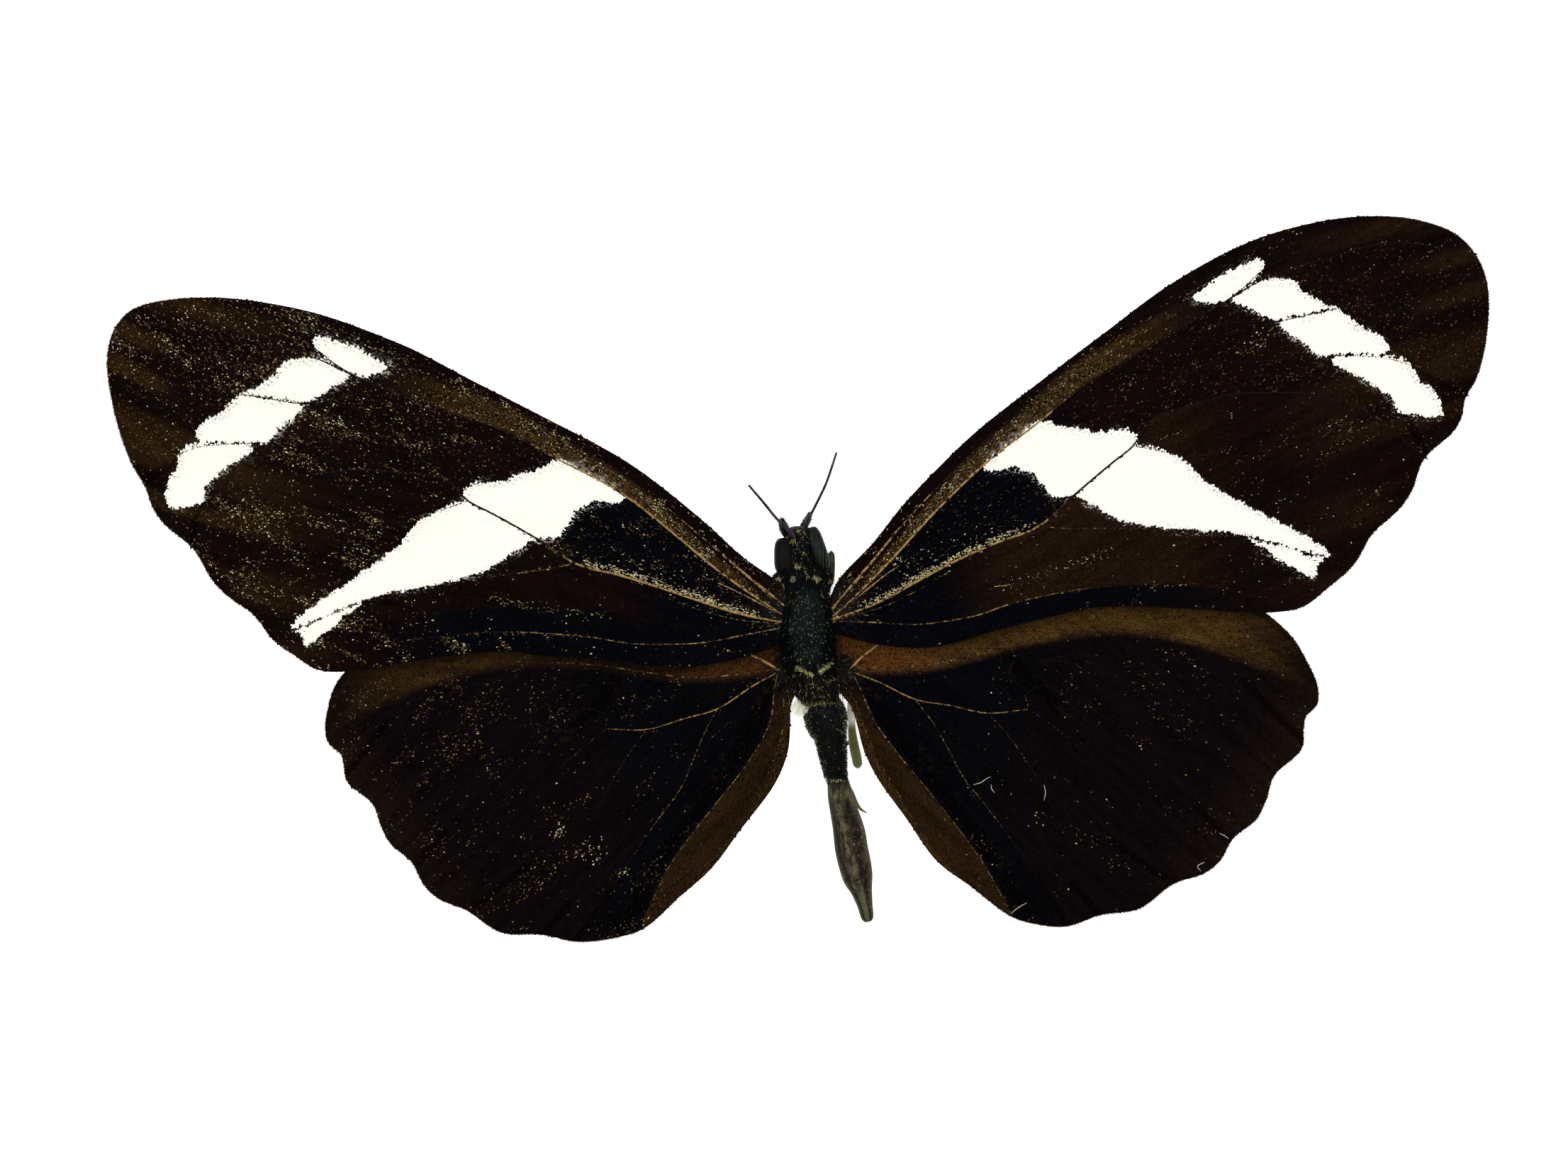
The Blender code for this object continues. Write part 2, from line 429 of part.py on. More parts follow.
def build_wing(name, wing, side, specimen, guides):
    """One wing: the plan raised into a thin curved plate, alike on both faces, with its veins as ridges."""
    points, faces, edge = wing_plan(wing)
    middle = middle_height(wing, points)
    half = WING_THICKNESS / 2 + ROOT_SWELLING * np.exp(-(np.linalg.norm(points, axis=1) / ROOT_REACH) ** 2)
    lift = vein_lift(wing, points, wing["edge"])
    hinge_x, hinge_y = wing["hinges"][side]
    flat = points if side == "right" else landmark_warp(wing["pins"])(points) * (-1, 1)
    flat = flat + (hinge_x, hinge_y)
    bm = bmesh.new()
    number = bm.verts.layers.int.new("number")
    under = [bm.verts.new((x, y, 0.0)) for x, y in flat]
    for count, vert in enumerate(under):
        vert[number] = count
    for face in faces:
        bm.faces.new([under[corner] for corner in face])
    raised = bmesh.ops.extrude_face_region(bm, geom=bm.faces[:])["geom"]
    bmesh.ops.translate(bm, vec=(0, 0, 1), verts=[part for part in raised if isinstance(part, bmesh.types.BMVert)])
    for vert in bm.verts:
        at = vert[number]
        if vert.co.z > 0.5:
            vert.co.z = middle[at] + half[at] + VEIN_RISE * lift[at]
        else:
            vert.co.z = middle[at] - half[at] - VEIN_UNDER_RISE * lift[at]
    trim(finish(name, bm, specimen), *guides)


def centre_on_floor(specimen):
    """Move the whole specimen so that the origin lies under the middle of its bounding box."""
    bpy.context.view_layer.update()
    corners = np.array([tuple(piece.matrix_world @ Vector(corner)) for piece in specimen.children
                        if not piece.hide_render for corner in piece.bound_box])
    middle = (corners.min(axis=0) + corners.max(axis=0)) / 2
    specimen.location = (-middle[0], -middle[1], -corners[:, 2].min())


def main():
    for leftover in list(bpy.data.objects):
        bpy.data.objects.remove(leftover)
    specimen = bpy.data.objects.new("specimen", None)
    bpy.context.collection.objects.link(specimen)
    guides = build_body(specimen)
    build_eyes(specimen, guides)
    build_limbs(specimen, guides)
    build_proboscis(specimen, guides)
    for side in ("left", "right"):
        build_wing("forewing_" + side, FOREWING, side, specimen, [guides["thorax"]])
        build_wing("hindwing_" + side, HINDWING, side, specimen, [guides["thorax"], guides["abdomen"]])
    centre_on_floor(specimen)


main()
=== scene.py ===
"""The looks of a dried, spread white-banded longwing butterfly.

Wing membranes, veins, overlapping wing scales, margin fringes, the hairy body, eyes, legs and feelers are
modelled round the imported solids. Lengths are in millimetres and MM turns them into metres. Places on the body
are measured from the middle of the thorax, and places on a wing are x outwards and y forwards from its hinge.
"""
import functools
import math

import bmesh
import bpy
import numpy as np
from bpy.props import FloatProperty, FloatVectorProperty, PointerProperty
from mathutils import Matrix, Vector


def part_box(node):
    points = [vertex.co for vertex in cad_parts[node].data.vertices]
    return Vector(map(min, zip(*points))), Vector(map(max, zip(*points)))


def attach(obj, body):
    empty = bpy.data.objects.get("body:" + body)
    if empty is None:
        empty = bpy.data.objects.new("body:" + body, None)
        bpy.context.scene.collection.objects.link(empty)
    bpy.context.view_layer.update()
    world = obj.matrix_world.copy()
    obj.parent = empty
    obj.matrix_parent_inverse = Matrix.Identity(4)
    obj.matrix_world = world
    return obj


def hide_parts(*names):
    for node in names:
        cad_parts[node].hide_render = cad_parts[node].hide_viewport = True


bl_info = {
    "name": "White-banded longwing",
    "version": (1, 0, 0),
    "blender": (4, 5, 0),
    "location": "View3D > Sidebar > Longwing",
    "description": "Dresses the solids of a spread longwing butterfly with scales, veins and hair",
    "category": "Add Mesh",
}

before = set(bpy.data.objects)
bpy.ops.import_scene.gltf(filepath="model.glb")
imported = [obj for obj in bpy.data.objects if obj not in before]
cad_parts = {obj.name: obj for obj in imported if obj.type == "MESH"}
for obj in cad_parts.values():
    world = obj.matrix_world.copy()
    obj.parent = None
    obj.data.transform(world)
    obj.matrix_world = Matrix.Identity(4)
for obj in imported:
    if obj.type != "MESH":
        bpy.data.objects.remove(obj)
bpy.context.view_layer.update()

MM = 0.001
UP = Vector((0.0, 0.0, 1.0))

# The thorax's left side and front edge, from the middle of the thorax, tie these places to the solids
THORAX_LEFT = -1.40
THORAX_FRONT = 1.85
THORAX_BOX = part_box("thorax")
SHIFT = np.array((THORAX_BOX[0][0] - THORAX_LEFT * MM, THORAX_BOX[1][1] - THORAX_FRONT * MM, 0.0))

SIDES = {"left": -1, "right": 1}

FOREWING = {
    "hinges": {"right": (1.55, 1.26), "left": (-1.15, 0.97)},
    "level": 4.72,
    "measured": ("radius", "cubitus", "second_anal"),
    "crossing": ("cubitus", "cubitus_1", "cubitus_2", "radius_fork", "media_1", "media_2"),
    "rise": math.radians(3.0),
    "edge": [
        (-0.2, 0.6), (1.8, 2.9), (3.3, 4.8), (5.2, 6.8), (7.1, 8.6), (10.3, 11.1), (13.6, 13.6),
        (17.0, 16.1), (20.7, 18.1), (23.5, 19.0), (26.4, 19.45), (29.1, 19.3), (31.2, 18.6), (32.3, 17.5),
        (32.9, 16.0), (32.9, 13.5), (32.4, 11.3), (31.8, 10.2), (31.6, 9.2), (31.2, 8.5), (29.7, 7.1),
        (29.1, 5.5), (28.4, 4.5), (27.1, 3.3), (26.2, 1.8), (24.9, 0.6), (23.6, -0.4), (21.7, -0.7),
        (17.8, -0.5), (14.8, -0.4), (12.6, -0.5), (10.9, -0.9), (9.2, -1.3), (7.4, -1.8), (5.7, -2.3),
        (4.3, -2.5), (2.6, -2.4), (1.4, -2.2), (-0.5, -1.4)],
    "fringed": (10, 26),
    "veins": {
        "radius": (0.070, 14.0, 0.75, [
            (-0.3, -0.9), (0.3, -0.4), (2.7, 2.0), (4.8, 4.3), (7.6, 7.0), (10.2, 9.0), (12.4, 10.8),
            (14.6, 12.1), (16.9, 13.5), (19.8, 15.2), (21.7, 16.3), (25.1, 17.4), (28.0, 18.1),
            (32.4, 17.5)]),
        "cubitus": (0.070, 10.5, 0.80, [
            (-0.4, -1.05), (0.3, -0.85), (2.2, -0.1), (4.2, 1.0), (5.9, 1.9), (7.9, 2.8), (10.2, 3.7),
            (11.9, 5.2), (13.9, 6.9), (15.0, 7.8), (15.8, 9.0), (16.4, 9.4), (17.8, 9.8), (20.0, 10.4),
            (22.2, 10.5), (24.2, 10.4), (26.4, 9.7), (29.9, 7.1)]),
        "subcosta": (0.050, 7.0, 0.35, [
            (0.6, 0.4), (2.1, 2.4), (4.2, 4.8), (6.6, 7.2), (9.3, 9.5), (12.5, 12.0), (15.7, 14.3),
            (19.9, 17.0)]),
        "first_anal": (0.035, 5.0, 0.45, [
            (-0.4, -1.15), (0.3, -0.95), (2.4, -0.35), (4.6, 0.75), (5.9, 1.55)]),
        "second_anal": (0.045, 12.0, 0.35, [
            (-0.4, -1.15), (0.3, -1.15), (1.9, -1.2), (4.0, -1.3), (5.7, -1.1), (7.2, -0.8), (8.6, -0.3),
            (10.2, 0.1), (12.4, 0.5), (14.6, 0.7), (18.6, 0.6), (23.4, -0.4)]),
        "cubitus_2": (0.035, 15.0, 0.25, [
            (10.2, 3.7), (11.6, 3.6), (13.9, 3.6), (17.1, 3.5), (20.0, 3.3), (22.8, 2.6), (26.0, 1.6)]),
        "cubitus_1": (0.040, 0.0, 0.0, [
            (15.0, 7.8), (17.1, 7.4), (19.1, 7.0), (22.2, 5.6), (25.2, 4.5), (27.2, 3.3)]),
        "radius_fork": (0.045, 0.0, 0.0, [
            (19.8, 15.2), (20.7, 15.9), (21.7, 16.8), (24.0, 17.9), (26.6, 18.7), (29.1, 19.0)]),
        "media_1": (0.048, 0.0, 0.0, [
            (18.2, 13.6), (20.1, 14.1), (22.2, 14.1), (23.7, 14.4), (25.1, 14.7), (28.7, 15.1),
            (32.9, 15.1)]),
        "media_2": (0.048, 0.0, 0.0, [
            (16.4, 9.4), (17.3, 10.9), (18.6, 11.9), (21.5, 12.1), (26.4, 12.35), (28.7, 12.0),
            (32.0, 10.3)]),
        "crossvein": (0.040, 0.0, 0.0, [(17.3, 10.9), (17.7, 12.4), (18.2, 13.6)]),
        "root_ridge": (0.095, 4.0, 0.65, [(-0.3, -0.5), (0.1, 0.0), (0.9, 0.95), (1.8, 2.0), (2.7, 3.1)]),
        "root_branch": (0.060, 4.0, 0.80, [
            (-0.3, -0.9), (0.3, -0.45), (1.3, 0.35), (2.3, 1.15), (3.1, 1.7)])},
    "pins": [
        (0.0, 0.0, 0.0, 0.0), (10.2, 3.7, 10.7, 2.1), (17.9, 15.2, 20.1, 12.0), (27.7, 12.5, 29.7, 8.3),
        (3.3, 4.8, 4.0, 4.1), (10.3, 11.1, 12.0, 9.4), (17.0, 16.1, 19.4, 13.2), (23.5, 19.0, 26.0, 15.3),
        (29.1, 19.3, 31.2, 15.5), (32.9, 15.0, 34.3, 11.6), (31.8, 10.3, 32.5, 6.1),
        (27.1, 3.3, 27.0, -0.5), (23.6, -0.4, 23.8, -3.3), (10.9, -0.8, 12.5, -2.5), (1.4, -2.2, 1.2, -2.4)],
    "bend": {"through": (0.0, 0.0), "towards": (24.0, 12.8), "side": 1, "drop": 0.012},
    "bands": [
        [(7.3, 6.6), (8.2, 7.5), (9.3, 8.4), (10.2, 9.0), (11.0, 8.7), (12.2, 8.6), (13.3, 8.4),
         (14.5, 8.6), (15.0, 8.2), (15.1, 7.9), (16.1, 7.6), (17.1, 7.2), (17.8, 6.7), (18.3, 6.1),
         (19.4, 5.4), (21.4, 4.3), (23.2, 3.4), (24.5, 2.6), (24.8, 2.2), (24.0, 2.3), (22.8, 2.6),
         (21.4, 3.0), (20.0, 3.3), (17.1, 3.5), (15.3, 3.7), (14.3, 3.9), (13.5, 4.3), (12.6, 4.8),
         (11.9, 5.2), (10.9, 5.1), (10.4, 5.6), (9.8, 6.3), (9.4, 6.5), (8.6, 6.6), (7.9, 6.4)],
        [(20.6, 3.0), (21.4, 2.9), (22.8, 2.6), (23.8, 2.2), (24.5, 2.1), (24.2, 1.7), (24.0, 1.1),
         (23.1, 1.5), (22.2, 2.0), (21.4, 2.6)],
        [(17.9, 15.2), (18.6, 15.8), (19.4, 16.4), (20.4, 16.9), (21.3, 17.2), (21.5, 16.8), (21.1, 16.2),
         (20.5, 15.7), (19.8, 15.2), (19.2, 15.0)],
        [(19.9, 15.1), (20.7, 15.7), (21.4, 16.1), (22.2, 16.2), (22.9, 16.1), (23.5, 15.6), (24.2, 15.1),
         (25.1, 14.7), (23.7, 14.4), (22.5, 14.2), (22.0, 14.1), (21.3, 14.4), (20.5, 14.8)],
        [(22.3, 13.9), (22.6, 14.2), (24.0, 14.4), (25.2, 14.7), (25.8, 14.2), (26.5, 13.7), (27.2, 13.4),
         (27.8, 12.7), (27.7, 12.4), (26.4, 12.4), (25.1, 12.3), (24.2, 12.2), (23.7, 12.8), (22.9, 13.3)],
        [(24.9, 12.0), (25.7, 12.3), (27.1, 12.4), (28.4, 12.2), (29.0, 11.7), (29.4, 11.0), (30.1, 10.5),
         (30.4, 9.9), (30.4, 9.2), (29.7, 9.2), (28.9, 9.3), (28.2, 9.5), (28.0, 10.1), (27.2, 10.7),
         (26.2, 11.3)]],
    "folds": [],
}
HINDWING = {
    "hinges": {"right": (1.80, -1.98), "left": (-1.26, -1.98)},
    "level": 3.98,
    "measured": ("subcosta", "second_anal", "third_anal"),
    "crossing": (),
    "rise": math.radians(2.0),
    "edge": [
        (-0.7, 1.2), (0.1, 1.9), (1.8, 2.0), (5.4, 2.4), (9.4, 3.5), (13.3, 4.0), (16.9, 3.9), (19.8, 3.4),
        (21.6, 2.5), (22.9, 1.3), (23.7, 0.0), (24.2, -1.2), (24.2, -2.1), (23.6, -2.8), (23.5, -3.4),
        (23.4, -4.4), (22.0, -5.8), (21.6, -7.0), (21.1, -8.0), (19.9, -9.0), (19.2, -10.2), (18.4, -10.8),
        (16.9, -11.3), (15.1, -12.6), (13.2, -12.9), (11.4, -13.5), (9.9, -13.4), (8.6, -13.0),
        (6.7, -11.6), (4.8, -10.2), (3.3, -8.1), (1.8, -6.0), (1.1, -4.6), (0.72, -3.2), (0.42, -2.3),
        (-0.2, -1.5), (-0.9, -0.4)],
    "fringed": (8, 28),
    "veins": {
        "subcosta": (0.042, 12.0, 0.22, [
            (0.2, -0.3), (2.0, -0.3), (4.6, -0.1), (6.7, 0.4), (8.9, 1.0), (11.5, 1.5), (14.1, 1.7),
            (16.6, 1.4), (19.2, 0.7), (22.7, -0.8), (24.2, -1.5)]),
        "humeral": (0.082, 4.0, 1.0, [(0.2, -0.5), (1.0, 0.3), (1.8, 0.9)]),
        "cubitus": (0.052, 16.0, 0.60, [
            (0.2, -0.4), (1.8, -1.0), (3.7, -1.9), (5.4, -2.2), (7.4, -2.6), (9.5, -2.4)]),
        "spur": (0.032, 20.0, 0.42, [(9.5, -2.4), (9.3, -1.7)]),
        "media_3": (0.032, 12.0, 0.15, [
            (9.5, -2.4), (11.3, -3.7), (13.4, -5.5), (15.1, -7.7), (16.5, -11.1)]),
        "second_anal": (0.045, 18.0, 0.30, [
            (0.5, -0.6), (0.9, -1.4), (1.6, -3.0), (2.9, -4.8), (4.3, -6.5), (5.4, -7.9), (6.7, -9.6),
            (7.7, -11.2), (8.6, -12.9)]),
        "cubitus_2": (0.038, 12.0, 0.28, [
            (3.7, -1.9), (4.6, -3.1), (5.3, -4.3), (6.1, -5.8), (7.2, -7.2), (8.4, -8.8), (9.6, -10.5),
            (10.4, -11.9), (11.5, -13.4)]),
        "cubitus_1": (0.034, 11.0, 0.20, [
            (7.4, -2.6), (8.4, -3.7), (9.4, -5.1), (10.4, -6.8), (11.5, -9.2), (12.4, -11.2), (13.1, -12.9)]),
        "media_2": (0.035, 0.0, 0.0, [
            (9.3, -1.7), (10.1, -1.2), (12.6, -2.3), (15.1, -4.1), (17.7, -6.7), (19.7, -9.0)]),
        "media_1": (0.035, 0.0, 0.0, [
            (9.6, 0.0), (11.4, 0.0), (14.1, -0.9), (16.9, -2.7), (19.5, -4.6), (21.7, -6.9)]),
        "radial_sector": (0.035, 0.0, 0.0, [
            (9.6, 0.0), (12.4, 0.4), (16.6, -0.5), (19.8, -1.8), (22.0, -3.1), (23.4, -4.2)]),
        "third_anal": (0.034, 12.0, 0.20, [
            (0.6, -1.8), (1.2, -3.6), (2.0, -5.3), (3.0, -7.0), (4.1, -8.8), (5.3, -10.2)])},
    "pins": [
        (0.0, 0.0, 0.0, 0.0), (3.7, -1.9, 3.4, -2.4), (9.4, -2.4, 9.0, -3.4), (21.6, 2.5, 22.1, -0.2),
        (24.2, -1.5, 23.3, -3.6), (19.7, -9.0, 18.8, -10.2), (16.4, -11.0, 15.7, -12.4),
        (11.5, -13.4, 10.6, -14.2), (8.6, -12.8, 7.3, -13.5), (4.8, -10.2, 3.7, -10.6),
        (1.8, -6.0, 0.4, -6.2), (0.5, -3.2, -0.6, -3.1)],
    "bend": {"through": (0.9, -1.1), "towards": (8.6, -12.8), "side": -1, "drop": 0.25},
    "bands": [],
    "folds": [
        [(0.5, -0.7), (1.6, -1.9), (3.0, -3.9), (4.6, -5.9), (6.2, -7.9), (7.6, -9.9), (9.0, -12.0),
         (9.7, -13.2)],
        [(8.2, 0.2), (9.6, -1.2), (11.2, -2.6)]],
}
WINGS = {"forewing": FOREWING, "hindwing": HINDWING}

# Creases on the dried wings, along which the scales are painted darker as painted shade: start and end, in
# right-wing places
CREASE_SHADE_LINES = {
    "forewing": [((27.0, 12.3), (31.7, 10.4)), ((28.2, 10.0), (29.6, 7.4))],
    "hindwing": [((20.2, -0.9), (23.2, -3.9)), ((13.5, -9.0), (16.3, -10.9)), ((11.6, -11.2), (12.9, -12.8)),
                 ((9.7, -10.8), (11.3, -13.2)), ((17.8, -7.2), (19.4, -8.9)), ((8.6, -11.0), (9.3, -12.9))],
}

# Clusters of worn scales: place, half width and share of worn scales
WORN_SPOTS = {
    "forewing_right": [
        (5.5, 5.6, 0.45, 0.8), (20.0, 9.3, 0.24, 1.0), (11.6, 7.2, 0.8, 0.12), (22.6, 5.0, 0.9, 0.10),
        (21.3, 13.3, 0.8, 0.12)],
    "forewing_left": [
        (5.6, 5.9, 0.55, 0.7), (3.4, 3.2, 0.5, 0.5), (9.5, 7.6, 0.5, 0.45), (20.9, 13.8, 0.28, 0.7),
        (20.6, 12.9, 0.28, 0.5)],
    "hindwing_right": [(9.9, -8.1, 0.7, 0.10), (16.8, -7.2, 0.5, 0.10)],
    "hindwing_left": [(10.6, -8.6, 1.0, 0.28), (12.1, -7.4, 0.5, 0.40), (9.1, -9.9, 0.4, 0.35)],
}

# Membrane, its sag between the veins and its folds
MEMBRANE_THICKNESS = 0.05
MEMBRANE_CELL = 0.45
VEIN_SAG = 0.09
SAG_REACH = 1.6
FOLD_DEPTH = 0.13
FOLD_REACH = 1.1

# Grid on which distances over a wing are measured: its step, and how far it reaches past the outline
FIELD_STEP = 0.12
FIELD_MARGIN = 0.8

# Wing scales: length against the row step, half width against the spacing, worn scales against whole ones,
# and how far each root sinks
SCALE_LENGTH = 1.9
SCALE_WIDTH = 0.78
WORN_LENGTH = (0.32, 0.85)
WORN_WIDTH = (0.22, 0.65)
SCALE_SINK = 0.012

# The least depth inside the wing's edge of a scale's root and of its tip
ROOT_DEPTH = 0.055
TIP_DEPTH = 0.05

# Which way each face of a wing looks, and the least brown of its scales
FACES = {"top": (1.0, 0.0), "under": (-1.0, 0.22)}

# Worn scales: least share, share added in streaks, and the noise where a streak begins and where it is full;
# then the share of worn places whose scale is missing
WEAR = {
    "forewing_left": (0.03, 0.50, 0.50, 0.80), "forewing_right": (0.006, 0.17, 0.56, 0.82),
    "hindwing_left": (0.014, 0.19, 0.52, 0.82), "hindwing_right": (0.005, 0.08, 0.56, 0.82),
}
MISSING_SHARE = 0.15

# What differs between the sides: bright specks, worn scales along veins, brown at the forewing's tip, and the
# hindwing's brown inner strip and rusty root
BRIGHT_SPECKS = {"left": 0.20, "right": 0.06}
VEIN_WEAR = {"left": 0.26, "right": 0.07}
TIP_BROWN = {"left": 0.32, "right": 0.18}
INNER_BROWN = {"left": 0.50, "right": 0.72}
ROOT_RUST = {"left": 0.6, "right": 0.9}

# A row of worn scales behind the forewing's cell
WORN_ROW = ((8.1, 0.6), (13.8, 2.4))

# Margin fringe: spacing of the hairs, how far inside the edge they root, and half their width
FRINGE_STEP = 0.040
FRINGE_INSET = 0.06
FRINGE_HALF_WIDTH = 0.026

# Loose pale fibres on the right hindwing
FIBRES = [
    [(10.27, -6.26), (10.34, -6.66), (10.27, -7.06)],
    [(6.67, -6.26), (7.05, -6.15), (7.34, -5.95), (7.52, -5.86)],
    [(7.57, -6.26), (7.60, -6.48), (7.75, -6.67)],
    [(8.58, -12.85), (8.78, -12.68), (9.08, -12.48), (9.40, -12.31)],
    [(19.20, -8.72), (19.48, -8.86), (19.68, -9.00)],
    [(18.47, -10.20), (18.10, -10.42), (18.27, -10.66)]]
FIBRE_RADIUS = 0.026

# Points in each ring of thin tubes: veins, fibres and claws
THREAD_SIDES = 6

# Body rows: x, y, z of the centre line, then half the width and half the height
BODY = [
    (-0.34, 4.95, 3.74, 0.38, 0.18), (-0.35, 4.84, 3.76, 0.64, 0.50), (-0.36, 4.60, 3.82, 0.74, 0.84),
    (-0.36, 4.20, 3.88, 0.74, 1.00), (-0.35, 3.70, 3.90, 0.72, 1.03), (-0.32, 3.30, 3.88, 0.76, 0.96),
    (-0.30, 2.98, 3.86, 1.00, 0.84), (-0.28, 2.72, 3.86, 1.34, 0.84), (-0.27, 2.42, 3.88, 1.46, 0.94),
    (-0.26, 2.08, 3.90, 1.42, 0.98), (-0.18, 1.78, 3.94, 1.24, 1.10), (-0.12, 1.45, 3.97, 1.14, 1.34),
    (-0.09, 0.70, 3.95, 1.30, 1.80), (-0.04, -0.30, 3.90, 1.36, 1.98), (0.02, -1.30, 3.85, 1.30, 1.93),
    (0.16, -2.20, 3.70, 1.18, 1.70), (0.26, -2.55, 3.60, 1.08, 1.54), (0.40, -3.05, 3.48, 1.10, 1.46),
    (0.55, -3.50, 3.35, 0.98, 1.22), (0.66, -3.85, 3.26, 0.80, 0.92), (0.74, -4.08, 3.24, 0.84, 0.88),
    (0.84, -4.42, 3.22, 1.02, 1.00), (0.93, -4.95, 3.16, 1.06, 1.02), (1.09, -5.50, 3.05, 0.90, 0.95),
    (1.14, -5.75, 3.01, 0.80, 0.88), (1.29, -6.74, 2.80, 0.68, 0.80), (1.43, -7.75, 2.52, 0.55, 0.68),
    (1.52, -8.00, 2.46, 0.54, 0.62), (1.71, -8.90, 2.20, 0.69, 0.64), (1.93, -9.80, 1.90, 0.78, 0.64),
    (2.18, -10.80, 1.50, 0.90, 0.64), (2.29, -11.60, 1.18, 0.93, 0.62), (2.47, -12.50, 0.84, 0.91, 0.60),
    (2.64, -13.30, 0.57, 0.80, 0.58), (2.79, -13.85, 0.44, 0.60, 0.46), (2.98, -14.65, 0.30, 0.42, 0.31),
    (3.12, -15.36, 0.20, 0.31, 0.20), (3.15, -15.50, 0.17, 0.18, 0.10)]

# Body skin: distance between its rings and points in each
BODY_STEP = 0.12
BODY_SIDES = 48

# Where parts of the body begin and end, as places along it
FACE_BACK = 4.5
HEAD_BACK = 2.85
WAIST_FRONT = -2.5
ABDOMEN_FRONT = -4.00
WRINKLED_FROM = -7.8
COAT_END = -8.1

# Hair of the body and of the wing roots
COAT_HAIRS = 42000
HAIR_HALF_WIDTH = 0.016
HAIR_LIFT = 0.01
ROOT_HAIRS = {"forewing": 2200, "hindwing": 1500}
ROOT_HAIR_REACH = {"forewing": 1.7, "hindwing": 1.35}
ROOT_HAIR_TURN = {"forewing": 0.3, "hindwing": -0.5}
ROOT_HAIR_START = (-0.5, -0.3)
ROOT_HAIR_HALF_WIDTH = 0.012

# Rings of pale hair round the abdomen: place along the body, half width, share of hairs, least and most pale
PALE_RINGS = ((-8.0, 0.06, 0.8, 0.5, 1.0), (ABDOMEN_FRONT, 0.17, 0.28, 0.3, 0.8))

# Long pale hair beside the waist: place along the body, half width, and against the other hair's length
FLUFF_PLACE = -3.9
FLUFF_REACH = 0.3
FLUFF_LENGTH = 3.8

# Eyes: centre, half sizes, and the turn of the long axis about the vertical
EYES = {
    "left": ((-1.20, 3.46, 3.88), (0.53, 0.93, 0.93), 0.0),
    "right": ((0.52, 3.86, 3.88), (0.40, 1.14, 0.93), math.radians(19.0)),
}
EYE_SQUARENESS = 3.4

# Pale tufts on the head, collar and thorax: x, y and the radius of each
PALE_TUFTS = [
    (-1.08, 4.40, 0.12), (-0.72, 4.28, 0.14), (-0.51, 3.03, 0.15), (-1.45, 2.36, 0.15), (-0.72, 2.38, 0.13),
    (-0.05, 2.55, 0.10), (0.42, 2.40, 0.16), (-1.02, 3.72, 0.08), (-0.20, 4.75, 0.09), (-0.22, 3.70, 0.06),
    (1.05, 2.30, 0.10), (1.10, 1.75, 0.08), (0.62, 1.50, 0.07), (-0.45, 4.80, 0.08), (-0.86, 3.38, 0.06)]

# Two pale strokes at the back of the thorax, and the oval of shorter hair on its middle
SCUTELLUM_MARKS = [((-0.55, -2.08), (0.18, -2.46)), ((0.52, -2.32), (1.08, -1.86))]
DISC_CENTRE = (-0.04, -0.10)
DISC_HALF_SIZE = (0.84, 1.90)

